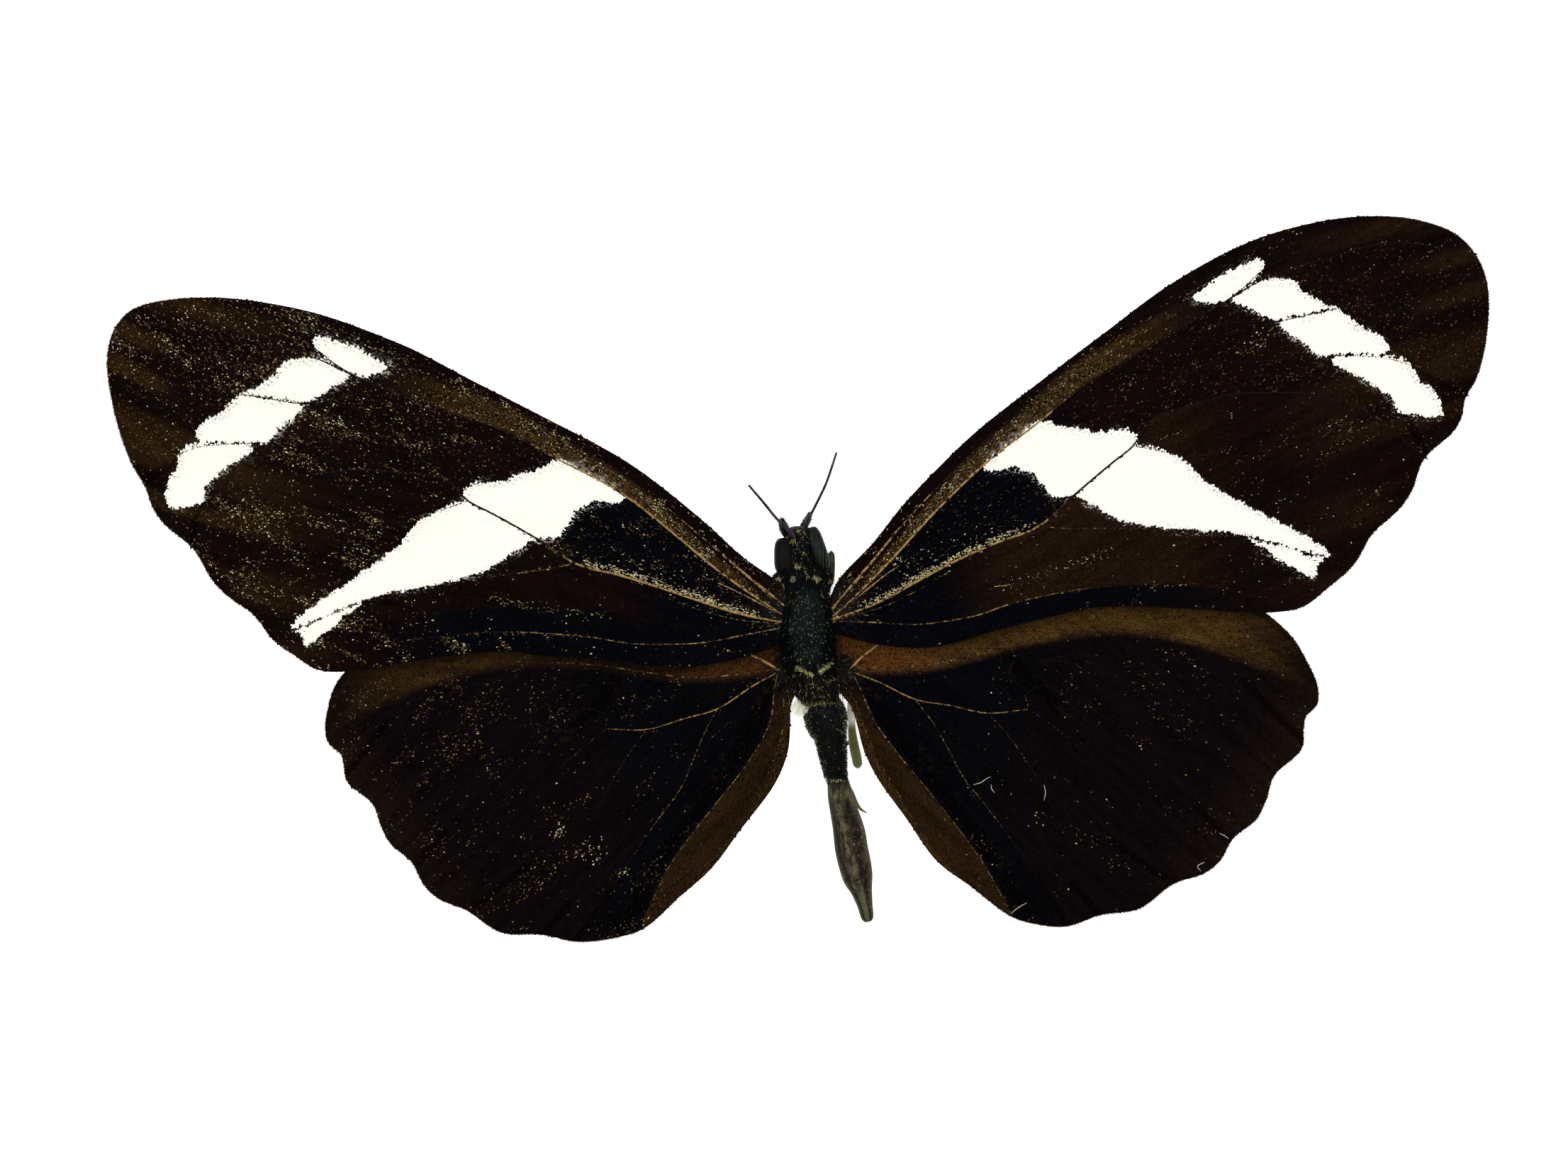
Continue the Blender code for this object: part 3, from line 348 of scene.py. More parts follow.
# Limbs: each row is x, y, z of the centre line and the radius
LEGS = {
    "foreleg_right": [
        (0.50, 2.36, 3.10, 0.12), (0.98, 1.90, 2.80, 0.17), (1.14, 2.20, 2.72, 0.20),
        (1.19, 2.80, 2.70, 0.21), (1.20, 3.45, 2.76, 0.19), (1.20, 3.66, 2.78, 0.13),
        (1.20, 3.73, 2.79, 0.04)],
    "foreleg_left": [
        (-0.90, 2.36, 3.10, 0.12), (-1.22, 2.05, 2.70, 0.14), (-1.28, 2.50, 2.52, 0.16),
        (-1.22, 3.00, 2.46, 0.17), (-1.10, 3.50, 2.45, 0.12), (-1.08, 3.68, 2.45, 0.04)],
    "midleg_right": [
        (0.45, -0.30, 2.70, 0.30), (0.95, -0.05, 2.25, 0.24), (1.25, 0.05, 2.12, 0.17),
        (2.10, 0.80, 2.30, 0.21), (2.75, 1.35, 2.38, 0.16), (2.90, 1.45, 2.20, 0.13),
        (3.20, 1.70, 1.70, 0.15), (3.75, 2.10, 0.55, 0.13), (3.92, 2.40, 0.20, 0.11),
        (4.05, 2.90, 0.13, 0.10), (4.25, 3.60, 0.12, 0.09), (4.35, 4.25, 0.10, 0.08)],
    "midleg_left": [
        (-0.60, -0.30, 2.70, 0.30), (-1.10, -0.10, 2.25, 0.24), (-1.40, 0.00, 2.12, 0.17),
        (-2.20, 0.60, 2.30, 0.21), (-2.85, 1.00, 2.38, 0.16), (-3.00, 1.08, 2.20, 0.13),
        (-3.30, 1.20, 1.70, 0.15), (-3.85, 1.45, 0.55, 0.13), (-4.02, 1.75, 0.20, 0.11),
        (-4.15, 2.20, 0.13, 0.10), (-4.35, 2.80, 0.12, 0.09), (-4.48, 3.45, 0.10, 0.08)],
    "hindleg_right": [
        (0.60, -2.20, 2.60, 0.30), (1.05, -2.50, 2.20, 0.25), (1.35, -2.75, 2.00, 0.17),
        (2.19, -3.60, 2.25, 0.22), (2.24, -4.60, 2.12, 0.21), (2.27, -5.15, 1.88, 0.19),
        (2.30, -5.70, 1.55, 0.22), (2.42, -6.45, 1.12, 0.26), (2.54, -7.00, 0.76, 0.26),
        (2.60, -7.36, 0.52, 0.22), (2.62, -7.50, 0.45, 0.10)],
    "hindleg_left": [
        (-0.40, -2.20, 2.60, 0.30), (-0.85, -2.45, 2.20, 0.25), (-1.15, -2.60, 1.97, 0.17),
        (-2.00, -3.05, 2.15, 0.20), (-2.60, -3.50, 2.12, 0.16), (-2.70, -3.70, 1.98, 0.13),
        (-2.95, -4.30, 1.40, 0.15), (-3.25, -5.30, 0.50, 0.13), (-3.31, -5.75, 0.18, 0.11),
        (-3.37, -6.40, 0.13, 0.10), (-3.47, -7.20, 0.12, 0.09), (-3.60, -8.15, 0.10, 0.08)],
}

# The foot beneath the shown leg
HIND_FOOT = [
    (2.30, -6.05, 1.05, 0.10), (1.90, -6.40, 0.72, 0.10), (1.75, -7.10, 0.35, 0.10),
    (1.82, -7.80, 0.15, 0.10), (2.05, -8.35, 0.14, 0.11), (2.30, -8.84, 0.14, 0.12),
    (2.52, -9.32, 0.13, 0.10), (2.77, -9.68, 0.12, 0.07), (3.08, -9.86, 0.08, 0.025)]

# The leg that shows in the photograph, and the limbs' distance between rings and points in each
SHOWN_LEG = "hindleg_right"
LIMB_STEP = 0.12
LIMB_SIDES = 14

# Feelers and palps: rows like those of the limbs
ANTENNAE = {
    "antenna_left": [
        (-0.66, 4.34, 4.70, 0.10), (-0.84, 4.60, 4.92, 0.11), (-1.14, 4.94, 5.02, 0.09),
        (-1.60, 5.36, 5.14, 0.075), (-2.25, 6.15, 5.50, 0.070), (-3.02, 7.05, 5.80, 0.060)],
    "antenna_right": [
        (-0.30, 4.55, 4.20, 0.10), (-0.18, 4.85, 4.70, 0.11), (-0.08, 5.10, 4.92, 0.09),
        (0.14, 5.55, 5.22, 0.075), (0.52, 6.30, 5.60, 0.070), (0.90, 7.10, 5.90, 0.068),
        (1.20, 7.95, 6.10, 0.064), (1.44, 8.70, 6.20, 0.055)],
}
PALPS = {
    "palp_left": [
        (-0.78, 4.30, 3.25, 0.18), (-1.10, 4.66, 3.12, 0.26), (-1.25, 4.98, 3.42, 0.25),
        (-1.33, 5.20, 3.85, 0.17), (-1.36, 5.34, 4.15, 0.05)],
    "palp_right": [
        (-0.42, 4.40, 3.25, 0.16), (-0.22, 4.95, 3.08, 0.20), (-0.03, 5.28, 3.42, 0.19),
        (0.04, 5.48, 3.95, 0.14), (0.06, 5.62, 4.30, 0.05)],
}

# Tongue: its coil's centre, radius at both ends and turn, then the mouth and the tongue's own radii
COIL_CENTRE = (-0.45, 4.20, 1.75)
COIL_RADII = (0.68, 0.22)
COIL_TURN = math.radians(620)
MOUTH = (-0.45, 3.60, 3.00)
TONGUE_RADII = (0.12, 0.05)

# The camera looks straight down on this place, from the middle of the thorax, and sees this width
VIEW_CENTRE = (-1.225, 1.819)
VIEW_WIDTH = 79.69
VIEW_LEVEL = 6.0

# The gap between the specimen and the floor
FLOOR_GAP = 0.02

# Lamps: place in metres, width, and strength against the key light
LAMPS = {"overhead": ((0.0, 0.05, 0.45), 0.5, 1.0), "left": ((-0.4, 0.2, 0.3), 0.3, 0.25)}


def smooth_step(low, high, value):
    """0 below low, 1 above high and a smooth rise between; low may be the larger."""
    share = np.clip((value - low) / (high - low), 0.0, 1.0)
    return share * share * (3.0 - 2.0 * share)


def window(start, full, fade, end, value):
    """Rises from 0 at start to 1 at full, and falls from fade to 0 at end."""
    return smooth_step(start, full, value) * smooth_step(end, fade, value)


def unit(vectors):
    """Rows of vectors made one long."""
    return vectors / np.linalg.norm(vectors, axis=1, keepdims=True)


def smooth_path(points, step, closed=False):
    """Points about a step apart on a curve through the given ones, measured by their x, y and z alone."""
    knots = np.array(points, dtype=float)
    places = min(knots.shape[1], 3)
    ring = np.vstack([knots[-1], knots, knots[0], knots[1]]) if closed else np.vstack(
        [2 * knots[0] - knots[1], knots, 2 * knots[-1] - knots[-2]])
    curve = []
    for a, b, c, d in zip(ring, ring[1:], ring[2:], ring[3:]):
        lengths = [math.sqrt(np.linalg.norm((q - p)[:places])) for p, q in ((a, b), (b, c), (c, d))]
        t1, t2, t3 = np.cumsum(lengths)
        for t in np.linspace(t1, t2, 24, endpoint=False):
            ab = a + (b - a) * t / t1
            bc = b + (c - b) * (t - t1) / (t2 - t1)
            cd = c + (d - c) * (t - t2) / (t3 - t2)
            abc = ab + (bc - ab) * t / t2
            bcd = bc + (cd - bc) * (t - t1) / (t3 - t1)
            curve.append(abc + (bcd - abc) * (t - t1) / (t2 - t1))
    curve.append(knots[0] if closed else knots[-1])
    curve = np.array(curve)
    along = np.r_[0, np.cumsum(np.linalg.norm(np.diff(curve[:, :places], axis=0), axis=1))]
    count = max(2, round(along[-1] / step)) + (0 if closed else 1)
    stops = np.linspace(0, along[-1], count, endpoint=not closed)
    return np.stack([np.interp(stops, along, column) for column in curve.T], axis=1)


def tube_path(rows, step):
    """A smooth path for skin through rows of place and radius."""
    return smooth_path([(*row, row[3]) for row in rows], step)


def nearest(points, samples):
    """Each point's distance to the nearest sample, and which sample that is."""
    reach = np.empty(len(points))
    which = np.empty(len(points), dtype=int)
    for start in range(0, len(points), 4000):
        block = points[start:start + 4000]
        gaps = ((block[:, None, :] - samples[None, :, :]) ** 2).sum(axis=2)
        which[start:start + 4000] = gaps.argmin(axis=1)
        reach[start:start + 4000] = np.sqrt(gaps.min(axis=1))
    return reach, which


def line_reach(points, line):
    """Distance from a line given by close points."""
    return nearest(points, line)[0]


def inside(points, outline):
    """Which points lie inside a closed outline."""
    ahead = np.roll(outline, -1, axis=0)
    crossings = np.zeros(len(points), dtype=int)
    for (x0, y0), (x1, y1) in zip(outline, ahead):
        if y0 == y1:
            continue
        straddles = (points[:, 1] < y0) != (points[:, 1] < y1)
        crossings += straddles & (points[:, 0] < x0 + (points[:, 1] - y0) * (x1 - x0) / (y1 - y0))
    return crossings % 2 == 1


def depth_inside(points, line):
    """Distance from a closed line, positive inside it and negative outside."""
    return line_reach(points, line) * np.where(inside(points, line), 1.0, -1.0)


def side_reach(points, line):
    """Distance from a line, positive on the left of its run and negative on the right."""
    reach, at = nearest(points, line)
    run = np.gradient(line, axis=0)[at]
    away = points - line[at]
    return reach * np.where(run[:, 0] * away[:, 1] > run[:, 1] * away[:, 0], 1.0, -1.0)


def cloud(points, cell, seed):
    """Smooth noise from 0 to 1 with lumps about a cell across."""
    lattice = np.random.default_rng(seed).random((257, 257))
    place = np.asarray(points)[:, :2] / cell + 70.0
    corner = np.floor(place).astype(int)
    share = place - corner
    share = share * share * (3.0 - 2.0 * share)
    i, j = corner[:, 0] % 256, corner[:, 1] % 256
    low = lattice[i, j] * (1 - share[:, 0]) + lattice[i + 1, j] * share[:, 0]
    high = lattice[i, j + 1] * (1 - share[:, 0]) + lattice[i + 1, j + 1] * share[:, 0]
    return low * (1 - share[:, 1]) + high * share[:, 1]


def streaks(points, turn, length, width, seed):
    """Smooth noise from 0 to 1, drawn out along one direction."""
    x, y = points[:, 0], points[:, 1]
    along = (x * math.cos(turn) + y * math.sin(turn)) / length
    across = (y * math.cos(turn) - x * math.sin(turn)) / width
    return cloud(np.column_stack([along, across]), 1.0, seed)


def landmark_warp(pins):
    """A smooth bend of the plane that carries each right-wing landmark to its place on the left wing."""
    pins = np.array(pins)
    source, target = pins[:, :2], pins[:, 2:]

    def basis(points):
        reach = np.linalg.norm(points[:, None, :] - source[None, :, :], axis=2)
        bends = reach ** 2 * np.log(np.maximum(reach, 1e-9))
        return np.hstack([bends, np.ones((len(points), 1)), points])

    count = len(pins)
    system = np.zeros((count + 3, count + 3))
    system[:count] = basis(source)
    system[count:, :count] = system[:count, count:].T
    weights = np.linalg.solve(system, np.vstack([target, np.zeros((3, 2))]))
    return lambda points: basis(np.asarray(points, dtype=float)) @ weights


class Field:
    """A value measured once on a grid over a wing, and looked up between the grid's nodes."""

    def __init__(self, outline, measure):
        self.low = outline.min(axis=0) - FIELD_MARGIN
        size = np.ceil((outline.max(axis=0) + FIELD_MARGIN - self.low) / FIELD_STEP).astype(int) + 1
        nodes = np.stack(np.meshgrid(np.arange(size[0]), np.arange(size[1]), indexing="ij"), axis=-1)
        self.table = measure(self.low + nodes.reshape(-1, 2) * FIELD_STEP).reshape(size)

    def __call__(self, points):
        place = (np.asarray(points, dtype=float) - self.low) / FIELD_STEP
        corner = np.clip(np.floor(place).astype(int), 0, np.array(self.table.shape) - 2)
        share = np.clip(place - corner, 0.0, 1.0)
        i, j = corner.T
        near = self.table[i, j] * (1 - share[:, 0]) + self.table[i + 1, j] * share[:, 0]
        far = self.table[i, j + 1] * (1 - share[:, 0]) + self.table[i + 1, j + 1] * share[:, 0]
        return near * (1 - share[:, 1]) + far * share[:, 1]


class WingPlan:
    """What the two wings of a kind share: outline, bands, and the distances from veins and folds."""

    def __init__(self, data):
        self.data = data
        self.outline = smooth_path(data["edge"], 0.1, closed=True)
        veins = {name: smooth_path(route, 0.1) for name, (_, _, _, route) in data["veins"].items()}
        folds = [smooth_path(route, 0.1) for route in data["folds"]]
        self.depth = self.field(depth_inside, self.outline)
        self.from_vein = self.field(line_reach, np.vstack(list(veins.values())))
        self.from_fold = [self.field(line_reach, fold) for fold in folds]
        self.beside = {name: self.field(side_reach, veins[name]) for name in data["measured"]}
        self.crossing = np.vstack([np.zeros((0, 2))] + [smooth_path(data["veins"][name][3], 0.04)
                                                        for name in data["crossing"]])
        bands = [smooth_path(band, 0.08, closed=True) for band in data["bands"]]
        self.bands = [self.field(depth_inside, band) for band in bands]

    def field(self, measure, line):
        return Field(self.outline, lambda points: measure(points, line))

    def level(self, points):
        """Height of the membrane: bent as the solid is, and sunk between the veins and along the folds."""
        bend = self.data["bend"]
        start = np.array(bend["through"])
        along = np.array(bend["towards"]) - start
        along /= np.linalg.norm(along)
        beyond = bend["side"] * ((points - start) @ np.array((-along[1], along[0])))
        level = self.data["level"] + math.tan(self.data["rise"]) * points[:, 0]
        level = level - bend["drop"] * np.maximum(beyond, 0) ** 2
        level = level - VEIN_SAG * smooth_step(0.0, SAG_REACH, self.from_vein(points))
        for fold in self.from_fold:
            level = level - FOLD_DEPTH * smooth_step(FOLD_REACH, 0.0, fold(points))
        return level


@functools.lru_cache(maxsize=None)
def wing_plan(kind):
    """The plan of a kind of wing, measured once."""
    return WingPlan(WINGS[kind])


class WingShape:
    """One wing's surface: turns places on the right wing into places of this wing in the scene."""

    def __init__(self, kind, side):
        self.kind, self.side = kind, side
        self.name = "%s_%s" % (kind, side)
        self.data, self.plan = WINGS[kind], wing_plan(kind)
        self.warp = landmark_warp(self.data["pins"]) if side == "left" else None
        self.low, self.span = self.plan.outline.min(axis=0), np.ptp(self.plan.outline, axis=0).max()

    def flat(self, points):
        """Places in the scene's plane, in millimetres from the middle of the thorax."""
        points = np.asarray(points, dtype=float)
        if self.side == "left":
            points = self.warp(points) * (-1.0, 1.0)
        return points + self.data["hinges"][self.side]

    def surface(self, points, lift=0.0):
        """Points in metres on the wing's surface, raised by a lift in millimetres."""
        raised = np.column_stack([self.flat(points), self.plan.level(points) + lift])
        return raised * MM + SHIFT

    def directions(self, points, heading):
        """Unit directions in the scene that run along the surface towards each heading."""
        return unit(self.surface(points + 0.05 * heading) - self.surface(points))

    def chart(self, points):
        """Each place on a flat map of the wing."""
        return (points - self.low) / self.span * 0.99


def each_wing():
    """The four wings, forewings first."""
    return [WingShape(kind, side) for kind in WINGS for side in SIDES]


def along_body(y):
    """A place along the body, from the middle of the thorax, as metres in the scene."""
    return float(y * MM + SHIFT[1])


def settings():
    """The values that the panel shows."""
    return bpy.context.scene.longwing


class Value:
    """A socket whose arithmetic adds Math nodes."""

    def __init__(self, paint, socket):
        self.paint, self.socket = paint, socket

    def maths(self, operation, other):
        return self.paint.node("ShaderNodeMath", {"operation": operation}, {0: self, 1: other})

    def __add__(self, other):
        return self.maths("ADD", other)

    __radd__ = __add__

    def __sub__(self, other):
        return self.maths("SUBTRACT", other)

    def __mul__(self, other):
        return self.maths("MULTIPLY", other)

    __rmul__ = __mul__

    def most(self, other):
        return self.maths("MAXIMUM", other)

    def least(self, other):
        return self.maths("MINIMUM", other)

    def ramp(self, low, high):
        """0 to 1 as the value goes from low to high."""
        return self.paint.node("ShaderNodeMapRange", {"interpolation_type": "SMOOTHSTEP"},
                               {0: self, 1: low, 2: high, 3: 0.0, 4: 1.0})


class Paint:
    """A material with one way in for every node."""

    def __init__(self, name, shine=0.1):
        self.material = bpy.data.materials.new(name)
        self.material.use_nodes = True
        self.tree = self.material.node_tree
        self.shader = self.tree.nodes["Principled BSDF"]
        self.shader.inputs["Specular IOR Level"].default_value = shine

    def feed(self, socket, value):
        if isinstance(value, Value):
            self.tree.links.new(value.socket, socket)
        else:
            socket.default_value = value

    def node(self, kind, choices=None, inputs=None, output=0):
        made = self.tree.nodes.new(kind)
        for name, choice in (choices or {}).items():
            setattr(made, name, choice)
        for name, value in (inputs or {}).items():
            self.feed(made.inputs[name], value)
        return Value(self, made.outputs[output])

    def attribute(self, name):
        return self.node("ShaderNodeAttribute", {"attribute_name": name}, output="Fac")

    def place(self, axis=None):
        spot = self.node("ShaderNodeTexCoord", output="Object")
        if axis is None:
            return spot
        return self.node("ShaderNodeSeparateXYZ", inputs={0: spot}, output=axis)

    def noise(self, size_mm, detail=3.0, roughness=0.55):
        return self.node("ShaderNodeTexNoise", inputs={"Vector": self.place(), "Scale": 1.0 / (size_mm * MM),
                                                       "Detail": detail, "Roughness": roughness})

    def mix(self, first, second, amount):
        first, second = (end if isinstance(end, Value) else (*end, 1.0) for end in (first, second))
        return self.node("ShaderNodeMix", {"data_type": "RGBA"}, {0: amount, 6: first, 7: second}, output=2)

    def dim(self, colour, amount):
        """A colour made darker or brighter."""
        return self.node("ShaderNodeVectorMath", {"operation": "SCALE"}, {0: colour, "Scale": amount})

    def finish(self, colour, roughness, bump=None, strength=0.3, distance_mm=0.02):
        self.feed(self.shader.inputs["Base Color"], colour)
        self.feed(self.shader.inputs["Roughness"], roughness)
        if bump is not None:
            relief = self.node("ShaderNodeBump", inputs={"Strength": strength, "Distance": distance_mm * MM,
                                                         "Height": bump})
            self.feed(self.shader.inputs["Normal"], relief)
        return self.material


def wing_scale_paint():
    """Wing scales: dark grounds, golden worn scales and cream bands, each scale with its own tone, and painted
    shade along creases and folds.
    """
    paint, colours = Paint("wing_scales", shine=0.0), settings().colours
    ground = paint.mix(colours.brown_black, colours.blue_black, paint.attribute("blue"))
    ground = paint.mix(ground, colours.olive_brown, paint.attribute("brown"))
    ground = paint.mix(ground, colours.rust_brown, paint.attribute("rust"))
    # The tone is each scale's own random tone, lowered by the painted shade along creases and folds
    ground = paint.dim(ground, 0.45 + 1.1 * paint.attribute("tone"))
    gold = paint.attribute("gold")
    colour = paint.mix(ground, colours.worn_gold, (gold * 2.0).least(1.0))
    colour = paint.mix(colour, colours.fleck_cream, (gold * 2.0 - 1.0).most(0.0))
    colour = paint.mix(colour, colours.band_cream, paint.attribute("pale"))
    return paint.finish(colour, 0.8, bump=paint.noise(0.03, detail=2.0), strength=0.2, distance_mm=0.01)


def membrane_paint():
    """The bare membrane where scales are gone: smoky brown, with the bands still pale."""
    paint, colours = Paint("wing_membrane", shine=0.0), settings().colours
    mottle = paint.noise(0.25, detail=4.0)
    bare = paint.mix(colours.brown_black, colours.bare_membrane, mottle.ramp(0.35, 0.65))
    colour = paint.mix(bare, colours.band_cream, paint.attribute("pale"))
    return paint.finish(colour, 0.5, bump=mottle, strength=0.2, distance_mm=0.01)


def vein_paint():
    """Veins: bare golden chitin towards the body, dark where scales still cover them."""
    paint, colours = Paint("wing_veins", shine=0.05), settings().colours
    patches = (paint.noise(0.22, detail=5.0) - 0.5) * 4.5
    shown = paint.attribute("bare")
    worn = (shown + patches * shown.ramp(0.0, 0.3)).ramp(0.0, 1.0)
    colour = paint.mix(colours.brown_black, colours.vein_gold, worn)
    return paint.finish(colour, 0.6, bump=paint.noise(0.06), strength=0.3, distance_mm=0.01)


def fringe_paint():
    """Hair scales along the outer margins."""
    paint, colours = Paint("margin_fringe", shine=0.02), settings().colours
    colour = paint.mix(colours.brown_black, colours.worn_gold, paint.attribute("gold"))
    return paint.finish(paint.dim(colour, 0.5 + paint.attribute("tone")), 0.8)


def skin_paint():
    """Body skin: green-black to the waist, then a dried grey-brown abdomen with painted shade in the valleys of
    its folds.
    """
    paint, colours = Paint("body_skin", shine=0.05), settings().colours
    along = paint.place("Y")
    hind = along.ramp(along_body(WRINKLED_FROM), along_body(WRINKLED_FROM - 1.2))
    mottle = paint.noise(0.7, detail=5.0)
    fine = paint.noise(0.10, detail=3.0)
    drawn_out = paint.node("ShaderNodeVectorMath", {"operation": "MULTIPLY"},
                           {0: paint.place(), 1: (1.0, 0.2, 1.0)})
    grain = paint.node("ShaderNodeTexNoise", inputs={"Vector": drawn_out, "Scale": 1.0 / (0.20 * MM),
                                                     "Detail": 4.0})
    thorax = along.ramp(along_body(WRINKLED_FROM), along_body(ABDOMEN_FRONT))
    front = paint.mix(colours.body_black, colours.body_green, mottle.ramp(0.45, 0.75) * thorax)
    mixed = (0.3 * mottle + 0.5 * grain + 0.2 * fine).ramp(0.40, 0.60)
    dried = paint.mix(colours.abdomen_dark, colours.abdomen_pale, mixed)
    tip = along.ramp(along_body(-13.2), along_body(-14.6))
    olive = (paint.attribute("flank").ramp(0.55, 0.95) * 0.5).most(tip * 0.7)
    dried = paint.mix(dried, colours.abdomen_olive, olive)
    # Painted shade: the abdomen is darker where its skin sinks, in the valleys of its lengthwise folds and
    # slightly at the segment steps
    dried = paint.dim(dried, 0.25 + 0.95 * paint.attribute("relief").ramp(0.86, 0.985))
    dried = paint.mix(dried, colours.tuft_yellow, fine.ramp(0.64, 0.70) * 0.4)
    colour = paint.mix(front, dried, hind)
    return paint.finish(colour, 0.6, bump=0.6 * mottle + 0.4 * fine, strength=0.6, distance_mm=0.06)


def hair_paint():
    """Body hair and scales: black to blue-green, with pale yellow tufts and brown hair at the wing roots."""
    paint, colours = Paint("body_hair", shine=0.02), settings().colours
    dark = paint.mix(colours.body_black, colours.body_green, paint.attribute("tone"))
    colour = paint.mix(dark, colours.root_brown, paint.attribute("brown"))
    colour = paint.mix(colour, colours.tuft_yellow, paint.attribute("gold"))
    return paint.finish(paint.mix(colour, colours.leg_pale, paint.attribute("pale")), 0.6)


def eye_paint(side):
    """Dried compound eye: fine lines along it and a net of facets."""
    paint, colours = Paint("eye_" + side, shine=0.02), settings().colours
    lines = paint.node("ShaderNodeTexNoise", {"noise_dimensions": "1D"},
                       {"W": paint.place("X"), "Scale": 1.0 / (0.09 * MM), "Detail": 3.0})
    facets = paint.node("ShaderNodeTexVoronoi", {"feature": "F1"},
                        {"Vector": paint.place(), "Scale": 1.0 / (0.035 * MM)}, output="Distance")
    pale = colours.eye_olive if side == "right" else colours.eye_brown
    colour = paint.mix(colours.eye_dark, pale, (0.6 * lines + 0.4 * paint.noise(0.4)).ramp(0.38, 0.62))
    return paint.finish(colour, 0.4, bump=facets, strength=0.3, distance_mm=0.01)


def chitin_paint(name, dark, pale, size_mm):
    """Smooth legs, feelers and tongue, mottled between two colours."""
    paint = Paint(name, shine=0.15)
    colour = paint.mix(dark, pale, paint.noise(size_mm, detail=4.0).ramp(0.35, 0.7))
    return paint.finish(colour, 0.4, bump=paint.noise(0.05), strength=0.3, distance_mm=0.01)


def hind_leg_paint():
    """The shown hind leg: a pale dried thigh and an olive shank."""
    paint, colours = Paint("hind_leg", shine=0.15), settings().colours
    beyond = paint.place("Y").ramp(along_body(-4.9), along_body(-5.5))
    colour = paint.mix(colours.leg_pale, colours.leg_olive, beyond)
    colour = paint.mix(colour, colours.leg_green, paint.noise(0.6, detail=3.0).ramp(0.5, 0.8) * 0.4)
    return paint.finish(colour, 0.4, bump=paint.noise(0.08), strength=0.3, distance_mm=0.02)


def add_piece(name, mesh, material, slot, *nodes):
    """A finished piece: it sits at the origin, rides on the specimen and stands for its solids."""
    piece = bpy.data.objects.new(name, mesh)
    bpy.context.scene.collection.objects.link(piece)
    mesh.materials.clear()
    mesh.materials.append(material)
    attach(piece, "root")
    if nodes:
        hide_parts(*nodes)
    return piece


def mesh_from(bm, name):
    """A smooth mesh from a bmesh, with its faces turned outwards."""
    bmesh.ops.recalc_face_normals(bm, faces=bm.faces)
    mesh = bpy.data.meshes.new(name)
    bm.to_mesh(mesh)
    bm.free()
    mesh.shade_smooth()
    return mesh


def paint_points(mesh, **values):
    """Store one number for each point of a mesh under each name."""
    for name, numbers in values.items():
        layer = mesh.attributes.new(name, "FLOAT", "POINT")
        layer.data.foreach_set("value", np.asarray(numbers, dtype=np.float32))


def skin(rows, sides, profile=None, sideways=None, bm=None):
    """A closed tube through rows of centre, half width and half height, square to its own centre line."""
    rows = np.asarray(rows)
    centres = [Vector(row[:3]) for row in rows]
    bm = bm or bmesh.new()
    if profile:
        relief, flank = (bm.verts.layers.float.new(name) for name in ("relief", "flank"))
    ring = bmesh.ops.create_circle(bm, cap_ends=True, segments=sides, radius=1.0)["verts"]
    placed = list(ring)
    rim = list({edge for vert in ring for edge in vert.link_edges})
    for _ in rows[1:]:
        grown = bmesh.ops.extrude_edge_only(bm, edges=rim)["geom"]
        rim = [part for part in grown if isinstance(part, bmesh.types.BMEdge)]
        ring = [part for part in grown if isinstance(part, bmesh.types.BMVert)]
        bmesh.ops.translate(bm, vec=UP, verts=ring)
        placed.extend(ring)
    bmesh.ops.contextual_create(bm, geom=rim)
    for vert in placed:
        level = round(vert.co.z)
        angle = math.atan2(vert.co.y, vert.co.x)
        ahead = (centres[min(level + 1, len(centres) - 1)] - centres[max(level - 1, 0)]).normalized()
        across = Vector(sideways) if sideways else ahead.cross(UP).normalized()
        up = across.cross(ahead)
        swell = 1.0
        if profile:
            swell = profile(centres[level], angle)
            vert[relief] = swell
            vert[flank] = abs(math.cos(angle))
        aside = rows[level][3] * swell * math.cos(angle)
        above = rows[level][4] * swell * math.sin(angle)
        vert.co = centres[level] + across * aside + up * above
    return bm


def add_thorn(bm, place, out, reaches, radii, sides):
    """A short spine that starts inside a limb and reaches past its surface."""
    stops = [place[:3]] + [place[:3] + out * (place[3] + reach) for reach in reaches]
    skin([(*stop, radius, radius) for stop, radius in zip(stops, radii)], sides, bm=bm)


def keep_above_floor(bm):
    """Flatten what would sink into the floor."""
    for vert in bm.verts:
        vert.co.z = max(vert.co.z, 0.0)


def to_scene(bm):
    """Move a mesh drawn in millimetres from the middle of the thorax to its place in the scene."""
    bmesh.ops.transform(bm, matrix=Matrix.Translation(SHIFT) @ Matrix.Scale(MM, 4), verts=bm.verts)


